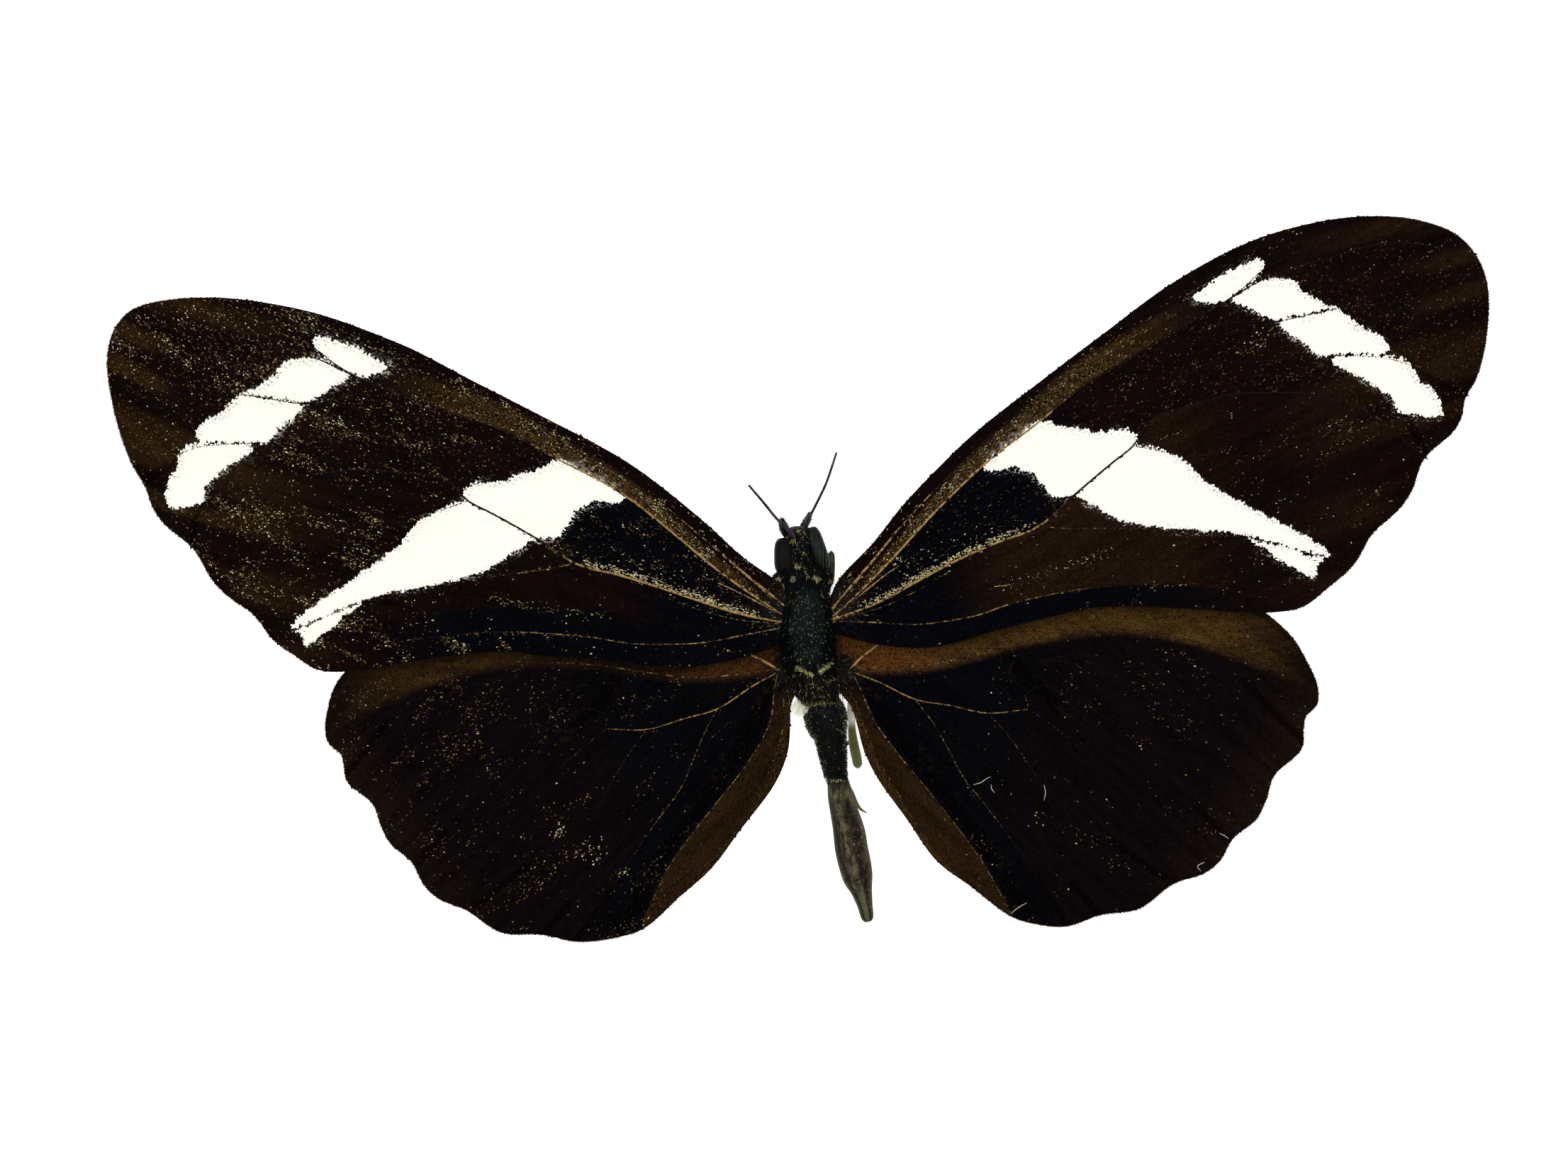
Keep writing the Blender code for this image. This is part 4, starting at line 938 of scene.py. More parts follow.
def join_plates(name, roots, ahead, sideways, up, lengths, widths, lift, sink, material, slot, values, chart):
    """Many thin closed plates as one mesh: each is narrow at its root and ends in a broad raised tip."""
    reach, spread, high = (axis * np.broadcast_to(size, len(roots))[:, None]
                           for axis, size in ((ahead, lengths), (sideways, widths), (up, lift)))
    low = up * sink
    corners = np.stack([roots - low, roots + reach + spread + high, roots + reach - spread + high,
                        roots + reach * 0.85 - low], axis=1)
    pattern = np.array([(0, 2, 1), (1, 2, 3), (0, 1, 3), (0, 3, 2)])
    handed = np.einsum("ij,ij->i", np.cross(ahead, sideways), up) < 0
    faces = pattern[None] + 4 * np.arange(len(roots))[:, None, None]
    faces[handed] = faces[handed][:, :, ::-1]
    faces = faces.reshape(-1, 3)
    mesh = bpy.data.meshes.new(name)
    mesh.from_pydata(corners.reshape(-1, 3), [], faces)
    paint_points(mesh, **{key: np.repeat(numbers, 4) for key, numbers in values.items()})
    patch = np.array([(0.0, 0.0), (1.0, 1.0), (0.0, 1.0), (0.5, 0.6)]) * 0.003
    places = (chart[:, None, :] + patch[None]).reshape(-1, 2)
    layer = mesh.uv_layers.new(name="OFBake")
    layer.data.foreach_set("uv", places[faces.ravel()].astype(np.float32).ravel())
    return add_piece(name, mesh, material, slot)


def segment_reach(points, ends):
    """Distance of each point from a straight line between two ends."""
    a, b = np.array(ends[0]), np.array(ends[1])
    share = np.clip(((points - a) @ (b - a)) / ((b - a) @ (b - a)), 0.0, 1.0)
    return np.linalg.norm(points - a - share[:, None] * (b - a), axis=1)


def band_amount(shape, points, rng):
    """1 for each scale of the cream bands, with ragged edges and dark scales along the crossing veins."""
    ragged = 0.14 * (cloud(points, 0.25, seed=11) - 0.5) + 0.12 * (rng.random(len(points)) - 0.5)
    pale = np.zeros(len(points))
    for depth in shape.plan.bands:
        pale = np.maximum(pale, depth(points) + ragged > 0.0)
    chosen = np.flatnonzero(pale)
    if len(chosen):
        reach = line_reach(points[chosen], shape.plan.crossing)
        pale[chosen[reach < rng.uniform(-0.02, 0.06, len(chosen))]] = 0.0
    return pale


def scatter(gold, rng, chance, low, high):
    """Give a share of the scales a worn value between low and high."""
    count = len(gold)
    return np.where(rng.random(count) < chance, rng.uniform(low, high, count), gold)


def scatter_all(count, rng, passes):
    """Worn values from 0 to 1 after passes of share, least value and greatest value."""
    gold = np.zeros(count)
    for chance, low, high in passes:
        gold = scatter(gold, rng, chance, low, high)
    return gold


def worn_share(shape, points, turn, coarse, fine, seed):
    """Share of worn scales, in coarse and fine streaks along one direction, and the streaks themselves."""
    patch = 0.6 * streaks(points, turn, *coarse, seed) + 0.4 * streaks(points, turn, *fine, seed + 1)
    least, added, low, high = WEAR[shape.name]
    return least + added * smooth_step(low, high, patch), patch


def forewing_look(shape, points, rng):
    """Colour amounts of the forewing's scales."""
    x, side = points[:, 0], shape.side
    radius, cubitus, anal = (shape.plan.beside[name](points) for name in shape.data["measured"])
    cell = (radius < 0.0) & (cubitus > 0.0)
    behind = (cubitus <= 0.0) & (anal > 0.0)
    by_anal = smooth_step(2.0, 1.2, np.abs(anal + 0.3)) * smooth_step(23.0, 14.0, x)
    blue = np.where(cubitus <= 0.0, np.maximum(smooth_step(8.5, 4.5, x), by_anal), 0.15)
    blue = np.where(cell, smooth_step(13.0, 9.0, x), blue)
    tip = smooth_step(20.0, 29.0, x) * smooth_step(0.3, 0.7, streaks(points, 0.3, 5.0, 0.9, seed=5))
    brown = TIP_BROWN[side] * tip
    wear, patch = worn_share(shape, points, 0.55, (2.6, 0.8), (0.9, 0.25), seed=3)
    wear = wear * (0.3 + 0.7 * smooth_step(5.0, 15.0, x))
    if side == "right":
        blue = np.where(behind, blue * smooth_step(10.0, 5.0, x), blue)
        brown = np.maximum(brown, 0.14 * behind * window(5.0, 9.0, 16.0, 21.0, x))
    else:
        wear = wear * np.where(behind & (x < 16.0), 0.2, 1.0)
        wear = wear + 0.30 * smooth_step(5.0, 0.0, -radius) * smooth_step(12.0, 20.0, x) * patch

    along_vein = smooth_step(0.12, 0.04, shape.plan.from_vein(points)) * smooth_step(7.0, 12.0, x)
    rays = smooth_step(0.50, 0.72, streaks(points, 0.75, 0.9, 0.12, seed=61)) * smooth_step(5.0, 1.5, x)
    width = np.minimum(0.35 + 0.085 * x, 1.35)
    strip = window(0.0, 0.08, 0.6 * width, width, radius) * window(0.6, 2.0, 13.0, 19.0, x)
    solid = 0.55 * smooth_step(13.0, 6.0, x) + 0.45
    lumps = cloud(points, 0.35, seed=7)
    row = window(0.04, 0.10, 0.28, 0.42, cubitus) * window(0.8, 1.6, 8.8, 10.2, x)
    stray = smooth_step(0.9, 0.4, np.abs(cubitus - 0.5)) * window(2.0, 4.0, 7.0, 9.0, x)
    gold = scatter_all(len(points), rng, [
        (wear, 0.14, 0.62),
        (BRIGHT_SPECKS[side] * wear, 0.7, 1.0),
        (0.07 * cell, 0.10, 0.40),
        (VEIN_WEAR[side] * along_vein, 0.2, 0.7),
        (0.40 * rays * smooth_step(-0.2, 0.2, cubitus), 0.3, 1.0),
        (solid * strip * smooth_step(0.1, 0.5, lumps), 0.20, 0.65),
        (0.16 * strip * smooth_step(0.5, 0.7, lumps) * smooth_step(14.0, 8.0, x), 0.6, 1.0),
        (0.95 * row * smooth_step(0.18, 0.30, cloud(points, 0.22, seed=9)), 0.72, 1.0),
        (0.05 * stray, 0.5, 0.95),
        (0.22 * smooth_step(0.35, 0.10, segment_reach(points, WORN_ROW)), 0.35, 0.75)])
    brown = np.maximum(brown, 0.65 * strip)
    return {"blue": blue, "brown": brown, "gold": gold, "wear": MISSING_SHARE * wear}


def hindwing_look(shape, points, rng):
    """Colour amounts of the hindwing's scales."""
    x, y, side = points[:, 0], points[:, 1], shape.side
    subcosta, second, third = (shape.plan.beside[name](points) for name in shape.data["measured"])
    front = smooth_step(-0.45, 0.10, subcosta) * smooth_step(25.0, 17.0, x)
    if side == "left":
        front = front * (0.22 + 0.25 * smooth_step(9.0, 14.0, x))
    front = front * np.minimum(0.55 + 0.9 * streaks(points, 0.1, 1.5, 0.2, seed=27), 1.15)
    by_body = 0.25 + 0.75 * smooth_step(-0.5, 0.6, x)
    low = smooth_step(-0.9, -2.2, y)
    inner = smooth_step(0.10, -0.10, third) * low
    between = smooth_step(0.10, -0.10, second) * low * (1.0 - inner)
    outer = smooth_step(3.5, 0.0, shape.plan.depth(points)) * smooth_step(13.0, 21.0, x)
    brown = np.maximum.reduce([front * by_body, INNER_BROWN[side] * inner, 0.28 * between, 0.09 * outer])
    rust = smooth_step(-0.3, 0.2, subcosta) * smooth_step(6.5, 2.5, x)
    rust = rust * (0.55 + 0.45 * streaks(points, 0.1, 1.0, 0.2, seed=28)) * by_body * ROOT_RUST[side]
    blue = 0.50 + 0.40 * smooth_step(14.0, 7.0, np.hypot(x, y))
    blue = np.maximum(blue, smooth_step(1.5, 0.9, np.abs(second - 0.8)) * smooth_step(0.0, 0.15, second))
    blue = blue * (1.0 - 0.8 * between) * (1.0 - inner)
    wear, _ = worn_share(shape, points, -0.7, (2.4, 0.8), (0.8, 0.25), seed=23)
    wear = wear * (0.3 + 0.7 * smooth_step(5.0, 13.0, x - 0.3 * y))
    gold = scatter_all(len(points), rng, [
        (0.3 * inner, 0.06, 0.22),
        (wear, 0.14, 0.60),
        (0.04 * wear, 0.7, 1.0)])
    return {"blue": blue, "brown": brown, "rust": rust, "gold": gold, "wear": MISSING_SHARE * wear}


LOOKS = {"forewing": forewing_look, "hindwing": hindwing_look}

# The way the tone's streaks run on each wing
TONE_TURNS = {"forewing": 0.5, "hindwing": -0.7}


def scale_sites(plan, row_step, across_step, rng):
    """Roots of scales in arcs round the hinge, the way each points, and how much of it fits on the wing."""
    corners = np.abs(np.vstack([plan.outline.min(axis=0), plan.outline.max(axis=0)]))
    sites = []
    for number, reach in enumerate(np.arange(0.35, np.hypot(*corners.max(axis=0)), row_step)):
        turn = across_step / reach
        angles = np.arange(-math.pi, math.pi, turn) + (number % 2) * turn / 2
        sites.append(np.column_stack([reach * np.cos(angles), reach * np.sin(angles)]))
    sites = np.vstack(sites)
    sites = sites + rng.normal(0.0, 0.12, sites.shape) * (row_step, across_step)
    turn = np.arctan2(sites[:, 1], sites[:, 0]) + rng.normal(0.0, 0.12, len(sites))
    heading = np.column_stack([np.cos(turn), np.sin(turn)])
    near = plan.depth(sites)
    kept = near > ROOT_DEPTH
    sites, heading, near = sites[kept], heading[kept], near[kept]
    tip = plan.depth(sites + row_step * SCALE_LENGTH * heading)
    fitting = np.clip((near - TIP_DEPTH) / np.maximum(near - tip, 1e-6), 0.2, 1.0)
    return sites, heading, np.where(tip < TIP_DEPTH, fitting, 1.0)


def scale_colours(shape, face, points, rng):
    """Colour amounts of the scales on one face of a wing, and which scales are still there."""
    look = LOOKS[shape.kind](shape, points, rng)
    pale = band_amount(shape, points, rng)
    tone = 0.5 + 0.17 * rng.normal(0.0, 1.0, len(points))
    tone = tone + 0.5 * (streaks(points, TONE_TURNS[shape.kind], 2.5, 0.25, seed=31) - 0.5)
    # Painted shade: scales along the creases and along the hindwing's folds are made darker
    for ends in CREASE_SHADE_LINES[shape.kind]:
        tone = tone - smooth_step(0.25, 0.05, segment_reach(points, ends))
    for fold in shape.plan.from_fold:
        tone = tone - 0.9 * smooth_step(0.5, 0.1, fold(points))
    lumps = smooth_step(0.3, 0.55, cloud(points, 0.3, seed=51))
    for x, y, radius, share in WORN_SPOTS[shape.name]:
        near = smooth_step(radius, 0.4 * radius, np.hypot(points[:, 0] - x, points[:, 1] - y))
        look["gold"] = scatter(look["gold"], rng, share * near * lumps, 0.6, 1.0)
    look["gold"] = np.where(pale > 0.5, 0.0, look["gold"])
    look["brown"] = np.maximum(look["brown"], FACES[face][1])
    missing = look.pop("wear") * np.where(pale > 0.5, 0.1, 1.0)
    kept = rng.random(len(points)) > missing
    return {**look, "pale": pale, "tone": np.clip(tone, 0.0, 1.0)}, kept


def lay_scales(shape, face, row_step, across_step, material):
    """One face of one wing, covered in overlapping scales."""
    rng = np.random.default_rng([len(shape.kind), SIDES[shape.side] + 2, len(face)])
    points, heading, shown = scale_sites(shape.plan, row_step, across_step, rng)
    look, kept = scale_colours(shape, face, points, rng)
    look = {name: values[kept] for name, values in look.items()}
    points, heading, shown = points[kept], heading[kept], shown[kept]
    count = len(points)
    ahead = shape.directions(points, heading)
    up = np.tile((0.0, 0.0, FACES[face][0]), (count, 1))
    up = unit(up - ahead * np.einsum("ij,ij->i", up, ahead)[:, None])
    roots = shape.surface(points) + up * (MEMBRANE_THICKNESS / 2 * MM)
    worn = look["gold"] > 0.0
    lengths = row_step * SCALE_LENGTH * MM * rng.normal(1.0, 0.10, count) * shown
    lengths = lengths * np.where(worn, rng.uniform(*WORN_LENGTH, count), 1.0)
    widths = across_step * SCALE_WIDTH * MM * rng.normal(1.0, 0.08, count)
    widths = widths * np.where(worn, rng.uniform(*WORN_WIDTH, count), 1.0)
    lift = MM * (0.020 + 0.012 * rng.random(count) + 0.015 * worn)
    join_plates("%s_%s_scales" % (shape.name, face), roots, ahead, np.cross(up, ahead), up, lengths, widths,
                lift, SCALE_SINK * MM, material, shape.kind + "_scales", look, shape.chart(points))


class LongwingSizes(bpy.types.PropertyGroup):
    """Lengths and distances of scales and hair"""
    scale_row: FloatProperty(
        name="Scale rows", description="Distance between rows of wing scales, in millimetres",
        default=0.115, min=0.05)
    scale_across: FloatProperty(
        name="Scale spacing", description="Distance between scales of a row, in millimetres",
        default=0.080, min=0.04)
    under_row: FloatProperty(
        name="Under rows", description="Distance between rows on the undersides, in millimetres",
        default=0.20, min=0.05)
    under_across: FloatProperty(
        name="Under spacing", description="Distance between scales in a row on undersides, in millimetres",
        default=0.14, min=0.04)
    hair_length: FloatProperty(
        name="Hair length", description="Length of the thorax hair, in millimetres",
        default=0.24, min=0.05)
    fringe_length: FloatProperty(
        name="Fringe length", description="Length of the margin fringe, in millimetres",
        default=0.10, min=0.02)


def colour_property(name, description, default):
    """A colour that the panel shows."""
    return FloatVectorProperty(name=name, description=description, default=default,
                               subtype="COLOR", size=3, min=0.0, max=1.0)


class LongwingColours(bpy.types.PropertyGroup):
    """Colours of wings, body and limbs"""
    brown_black: colour_property("Brown black", "Outer wing scales", (0.0050, 0.0021, 0.0019))
    blue_black: colour_property("Blue black", "Scales near the body", (0.0012, 0.0016, 0.0028))
    olive_brown: colour_property("Olive brown", "Front and inner strips of hindwings", (0.05, 0.0255, 0.0062))
    rust_brown: colour_property("Rust brown", "Front of the hindwings near the body", (0.085, 0.030, 0.0060))
    worn_gold: colour_property("Worn gold", "Worn scales", (0.145, 0.092, 0.032))
    fleck_cream: colour_property("Fleck cream", "Pale flecks beside the veins", (0.68, 0.64, 0.35))
    band_cream: colour_property("Band cream", "Scales of the pale bands", (0.86, 0.86, 0.77))
    bare_membrane: colour_property("Bare membrane", "Membrane without scales", (0.0060, 0.0040, 0.0030))
    vein_gold: colour_property("Vein gold", "Bare veins", (0.30, 0.185, 0.060))
    body_black: colour_property("Body black", "Darkest hair and skin", (0.0020, 0.0024, 0.0026))
    body_green: colour_property("Body green", "Blue-green hair and skin", (0.0100, 0.0180, 0.0200))
    root_brown: colour_property("Root brown", "Hair at the wing roots", (0.045, 0.024, 0.010))
    tuft_yellow: colour_property("Tuft yellow", "Pale tufts of head and thorax", (0.46, 0.42, 0.18))
    abdomen_dark: colour_property("Abdomen dark", "Dark folds of the abdomen", (0.0150, 0.0108, 0.0085))
    abdomen_olive: colour_property("Abdomen olive", "Flanks and tip of the abdomen", (0.078, 0.078, 0.040))
    abdomen_pale: colour_property("Abdomen pale", "Pale folds of the abdomen", (0.086, 0.070, 0.037))
    eye_dark: colour_property("Eye dark", "Dark parts of the eyes", (0.0030, 0.0038, 0.0036))
    eye_olive: colour_property("Eye olive", "Grey-green of the right eye", (0.0210, 0.0260, 0.0200))
    eye_brown: colour_property("Eye brown", "Brown of the left eye", (0.0075, 0.0050, 0.0042))
    leg_pale: colour_property("Leg pale", "Dried thigh of the hind leg", (0.98, 0.98, 0.82))
    leg_olive: colour_property("Leg olive", "Shank of the hind leg", (0.120, 0.125, 0.034))
    leg_green: colour_property("Leg green", "Dark green legs", (0.014, 0.024, 0.010))
    fibre_pale: colour_property("Fibre pale", "Loose fibres", (0.34, 0.34, 0.26))
    feeler_plum: colour_property("Feeler plum", "Feelers", (0.060, 0.026, 0.055))


class LongwingStage(bpy.types.PropertyGroup):
    """Camera, floor and light"""
    lens: FloatProperty(
        name="Lens", description="Focal length in millimetres", default=120.0, min=20.0)
    floor_grey: FloatProperty(
        name="Floor", description="Brightness of the floor", default=0.6, min=0.0, max=1.0)
    floor_glow: FloatProperty(
        name="Floor glow", description="Light from the floor itself", default=0.85, min=0.0)
    key_strength: FloatProperty(
        name="Key light", description="Strength of the overhead light", default=1.75, min=0.0)
    world_strength: FloatProperty(
        name="Surround", description="Strength of the surround", default=0.52, min=0.0)


class LongwingSettings(bpy.types.PropertyGroup):
    """All values of the longwing"""
    sizes: PointerProperty(type=LongwingSizes)
    colours: PointerProperty(type=LongwingColours)
    stage: PointerProperty(type=LongwingStage)


class LONGWING_OT_stage(bpy.types.Operator):
    """Camera straight above, pale floor and soft light"""
    bl_idname = "longwing.stage"
    bl_label = "Stage"

    def execute(self, context):
        stage = settings().stage
        camera = bpy.data.objects.new("camera", bpy.data.cameras.new("camera"))
        camera.data.lens = stage.lens
        away = stage.lens / camera.data.sensor_width * VIEW_WIDTH * MM
        camera.location = Vector((*VIEW_CENTRE, VIEW_LEVEL)) * MM + away * UP + Vector(SHIFT)
        camera.data.clip_start, camera.data.clip_end = 0.01, 10.0
        context.scene.collection.objects.link(camera)
        context.scene.camera = camera

        bm = bmesh.new()
        bmesh.ops.create_grid(bm, x_segments=1, y_segments=1, size=2.0)
        mesh = bpy.data.meshes.new("floor")
        bm.to_mesh(mesh)
        bm.free()
        floor = bpy.data.objects.new("floor", mesh)
        floor.location.z = -FLOOR_GAP * MM
        context.scene.collection.objects.link(floor)
        paint = Paint("pale_floor")
        grey = stage.floor_grey
        paint.shader.inputs["Emission Color"].default_value = (1.0, 1.0, 1.0, 1.0)
        paint.shader.inputs["Emission Strength"].default_value = stage.floor_glow
        mesh.materials.append(paint.finish((grey, grey, grey, 1.0), 0.9))

        for name, (place, size, power) in LAMPS.items():
            light = bpy.data.lights.new(name, "AREA")
            light.shape, light.size = "DISK", size
            light.energy = stage.key_strength * power
            lamp = bpy.data.objects.new(name, light)
            lamp.location = place
            lamp.rotation_euler = (-Vector(place)).to_track_quat("-Z", "Y").to_euler()
            context.scene.collection.objects.link(lamp)
        world = bpy.data.worlds.new("surround")
        world.use_nodes = True
        world.node_tree.nodes["Background"].inputs["Color"].default_value = (1.0, 1.0, 1.0, 1.0)
        world.node_tree.nodes["Background"].inputs["Strength"].default_value = stage.world_strength
        context.scene.world = world
        context.scene.view_settings.view_transform = "Standard"
        return {"FINISHED"}


class LONGWING_OT_membranes(bpy.types.Operator):
    """Four thin wing membranes"""
    bl_idname = "longwing.membranes"
    bl_label = "Membranes"

    def execute(self, context):
        material = membrane_paint()
        for shape in each_wing():
            self.stretch(shape, material)
        return {"FINISHED"}

    def stretch(self, shape, material):
        """One membrane: the outline cut into a grid, thickened and laid on the wing's surface."""
        bm = bmesh.new()
        outline = smooth_path(shape.data["edge"], 0.2, closed=True)
        bm.faces.new([bm.verts.new((x, y, 0.0)) for x, y in outline])
        low, high = outline.min(axis=0), outline.max(axis=0)
        for axis, normal in ((0, (1, 0, 0)), (1, (0, 1, 0))):
            for offset in np.arange(low[axis] + MEMBRANE_CELL / 2, high[axis], MEMBRANE_CELL):
                bmesh.ops.bisect_plane(bm, geom=bm.verts[:] + bm.edges[:] + bm.faces[:], dist=1e-4,
                                       plane_co=[offset * part for part in normal], plane_no=normal)
        bmesh.ops.triangulate(bm, faces=bm.faces[:])
        grown = bmesh.ops.extrude_face_region(bm, geom=bm.faces[:])["geom"]
        raised = [part for part in grown if isinstance(part, bmesh.types.BMVert)]
        bmesh.ops.translate(bm, vec=UP, verts=raised)
        flat = np.array([vert.co[:2] for vert in bm.verts])
        top = np.array([vert.co.z > 0.5 for vert in bm.verts])
        places = shape.surface(flat, lift=np.where(top, 0.5, -0.5) * MEMBRANE_THICKNESS)
        for vert, place in zip(bm.verts, places):
            vert.co = place
        mesh = mesh_from(bm, shape.name)
        pale = np.zeros(len(flat))
        for depth in shape.plan.bands:
            pale = np.maximum(pale, smooth_step(-0.1, 0.3, depth(flat)))
        paint_points(mesh, pale=pale)
        add_piece(shape.name + "_membrane", mesh, material, shape.kind + "_scales", shape.name)


class LONGWING_OT_veins(bpy.types.Operator):
    """Raised veins on the four wings"""
    bl_idname = "longwing.veins"
    bl_label = "Veins"

    def execute(self, context):
        material = vein_paint()
        for shape in each_wing():
            self.draw_veins(shape, material)
        return {"FINISHED"}

    def draw_veins(self, shape, material):
        """One wing's veins: tapered tubes, bare near the body."""
        bm = bmesh.new()
        bare_values = []
        for radius, bare_to, shine, route in shape.data["veins"].values():
            line = smooth_path(route, 0.35)
            centres = (shape.surface(line, lift=0.02) - SHIFT) / MM
            thick = radius * (1.0 - 0.35 * np.linspace(0.0, 1.0, len(line)))
            skin(np.column_stack([centres, thick, 0.8 * thick]), THREAD_SIDES, bm=bm)
            bare = shine * smooth_step(bare_to + 3.0, bare_to - 2.0, np.linalg.norm(line, axis=1))
            bare_values.extend(np.repeat(bare, THREAD_SIDES))
        to_scene(bm)
        mesh = mesh_from(bm, shape.name)
        paint_points(mesh, bare=bare_values)
        add_piece(shape.name + "_veins", mesh, material, shape.kind + "_scales")


class LONGWING_OT_scales(bpy.types.Operator):
    """Overlapping scales on both faces of the four wings"""
    bl_idname = "longwing.scales"
    bl_label = "Wing scales"

    def execute(self, context):
        sizes, material = settings().sizes, wing_scale_paint()
        for shape in each_wing():
            lay_scales(shape, "top", sizes.scale_row, sizes.scale_across, material)
            lay_scales(shape, "under", sizes.under_row, sizes.under_across, material)
        return {"FINISHED"}


class LONGWING_OT_fringes(bpy.types.Operator):
    """Hair scales along the outer margins"""
    bl_idname = "longwing.fringes"
    bl_label = "Margin fringes"

    def execute(self, context):
        material = fringe_paint()
        for shape in each_wing():
            self.edge(shape, material)
        return {"FINISHED"}

    def edge(self, shape, material):
        """One wing's fringe: short hair scales that point outwards from the margin."""
        rng = np.random.default_rng([5, len(shape.kind), SIDES[shape.side] + 2])
        first, last = shape.data["fringed"]
        line = smooth_path(shape.data["edge"][first:last + 1], FRINGE_STEP)
        run = unit(np.gradient(line, axis=0))
        outward = np.column_stack([-run[:, 1], run[:, 0]])
        middle = shape.plan.outline.mean(axis=0)
        outward = outward * np.sign(((line - middle) * outward).sum(axis=1))[:, None]
        line = line - FRINGE_INSET * outward
        count = len(line)
        out = unit(shape.directions(line, outward) + rng.normal(0.0, 0.12, (count, 3)))
        sideways = unit(np.cross(UP, out))
        patch = smooth_step(0.40, 0.65, cloud(line, 1.2, seed=41))
        gold = np.clip(0.3 + 0.7 * patch + 0.2 * rng.normal(size=count), 0.0, 1.0)
        lengths = settings().sizes.fringe_length * MM * rng.uniform(0.6, 1.25, count)
        join_plates(shape.name + "_fringe", shape.surface(line), out, sideways, np.cross(out, sideways),
                    lengths, FRINGE_HALF_WIDTH * MM, HAIR_LIFT * MM, HAIR_LIFT * MM, material,
                    shape.kind + "_scales", {"gold": gold, "tone": rng.random(count)}, shape.chart(line))


class LONGWING_OT_fibres(bpy.types.Operator):
    """Loose pale fibres that lie on the right hindwing"""
    bl_idname = "longwing.fibres"
    bl_label = "Loose fibres"

    def execute(self, context):
        shape = WingShape("hindwing", "right")
        bm = bmesh.new()
        for route in FIBRES:
            line = smooth_path(route, 0.08)
            centres = (shape.surface(line, lift=0.08) - SHIFT) / MM
            thick = FIBRE_RADIUS * (1.0 - 0.5 * np.linspace(-1.0, 1.0, len(line)) ** 2)
            skin(np.column_stack([centres, thick, thick]), THREAD_SIDES, bm=bm)
        to_scene(bm)
        material = Paint("loose_fibres").finish((*settings().colours.fibre_pale, 1.0), 0.7)
        add_piece("loose_fibres", mesh_from(bm, "loose_fibres"), material, "hindwing_scales")
        return {"FINISHED"}


class LONGWING_OT_roots(bpy.types.Operator):
    """Hair that lies outwards over the wing roots"""
    bl_idname = "longwing.roots"
    bl_label = "Wing root hair"

    def execute(self, context):
        material = hair_paint()
        for shape in each_wing():
            self.comb(shape, material)
        return {"FINISHED"}

    def comb(self, shape, material):
        """Hair over one wing's root, fanned outwards from the body."""
        rng = np.random.default_rng([6, len(shape.kind), SIDES[shape.side] + 2])
        hairs = ROOT_HAIRS[shape.kind]
        turn = ROOT_HAIR_TURN[shape.kind] + rng.normal(0.0, 0.55, hairs)
        reach = ROOT_HAIR_REACH[shape.kind] * np.abs(rng.normal(0.0, 0.5, hairs))
        points = reach[:, None] * np.column_stack([np.cos(turn), np.sin(turn)]) + ROOT_HAIR_START
        turn = turn + rng.normal(0.0, 0.25, hairs)
        kept = shape.plan.depth(points) > 0.1
        points, turn = points[kept], turn[kept]
        count = len(points)
        lie = shape.directions(points, np.column_stack([np.cos(turn), np.sin(turn)]))
        sideways = unit(np.cross(UP, lie))
        gold = scatter(np.zeros(count), rng, 0.03, 0.1, 0.5)
        brown = scatter(np.zeros(count), rng, 0.50, 0.05, 0.40)
        lengths = MM * rng.uniform(0.25, 0.60, count)
        lift = MM * rng.uniform(0.01, 0.06, count)
        values = {"gold": gold, "brown": brown, "tone": 0.15 * rng.random(count)}
        join_plates(shape.name + "_root_hair", shape.surface(points, lift=0.03), lie, sideways,
                    np.cross(lie, sideways), lengths, ROOT_HAIR_HALF_WIDTH * MM, lift, HAIR_LIFT * MM,
                    material, shape.kind + "_scales", values, shape.chart(points))


def body_profile(centre, angle):
    """Lengthwise folds of the dried abdomen and the soft ring steps of its segments."""
    if centre.y > ABDOMEN_FRONT:
        return 1.0
    rings = 0.03 * abs(math.sin(math.pi * (centre.y - ABDOMEN_FRONT) / 1.25))
    if centre.y > WRINKLED_FROM:
        return 0.97 + rings
    fade = min(1.0, (WRINKLED_FROM - centre.y) / 1.5)
    folds = 0.5 + 0.5 * math.cos(5 * angle + 0.3 * centre.y)
    fine = 0.5 + 0.5 * math.cos(11 * angle + 1.1 * centre.y)
    return 0.99 + rings * (1.0 - fade) - fade * (0.11 * folds + 0.04 * fine)


class LONGWING_OT_body(bpy.types.Operator):
    """One skin from the face to the tip of the abdomen"""
    bl_idname = "longwing.body"
    bl_label = "Body skin"

    def execute(self, context):
        bm = skin(smooth_path(BODY, BODY_STEP), BODY_SIDES, profile=body_profile)
        keep_above_floor(bm)
        to_scene(bm)
        mesh = mesh_from(bm, "body_skin")
        add_piece("body_skin", mesh, skin_paint(), "body_hair", "head", "prothorax", "thorax", "abdomen")
        return {"FINISHED"}


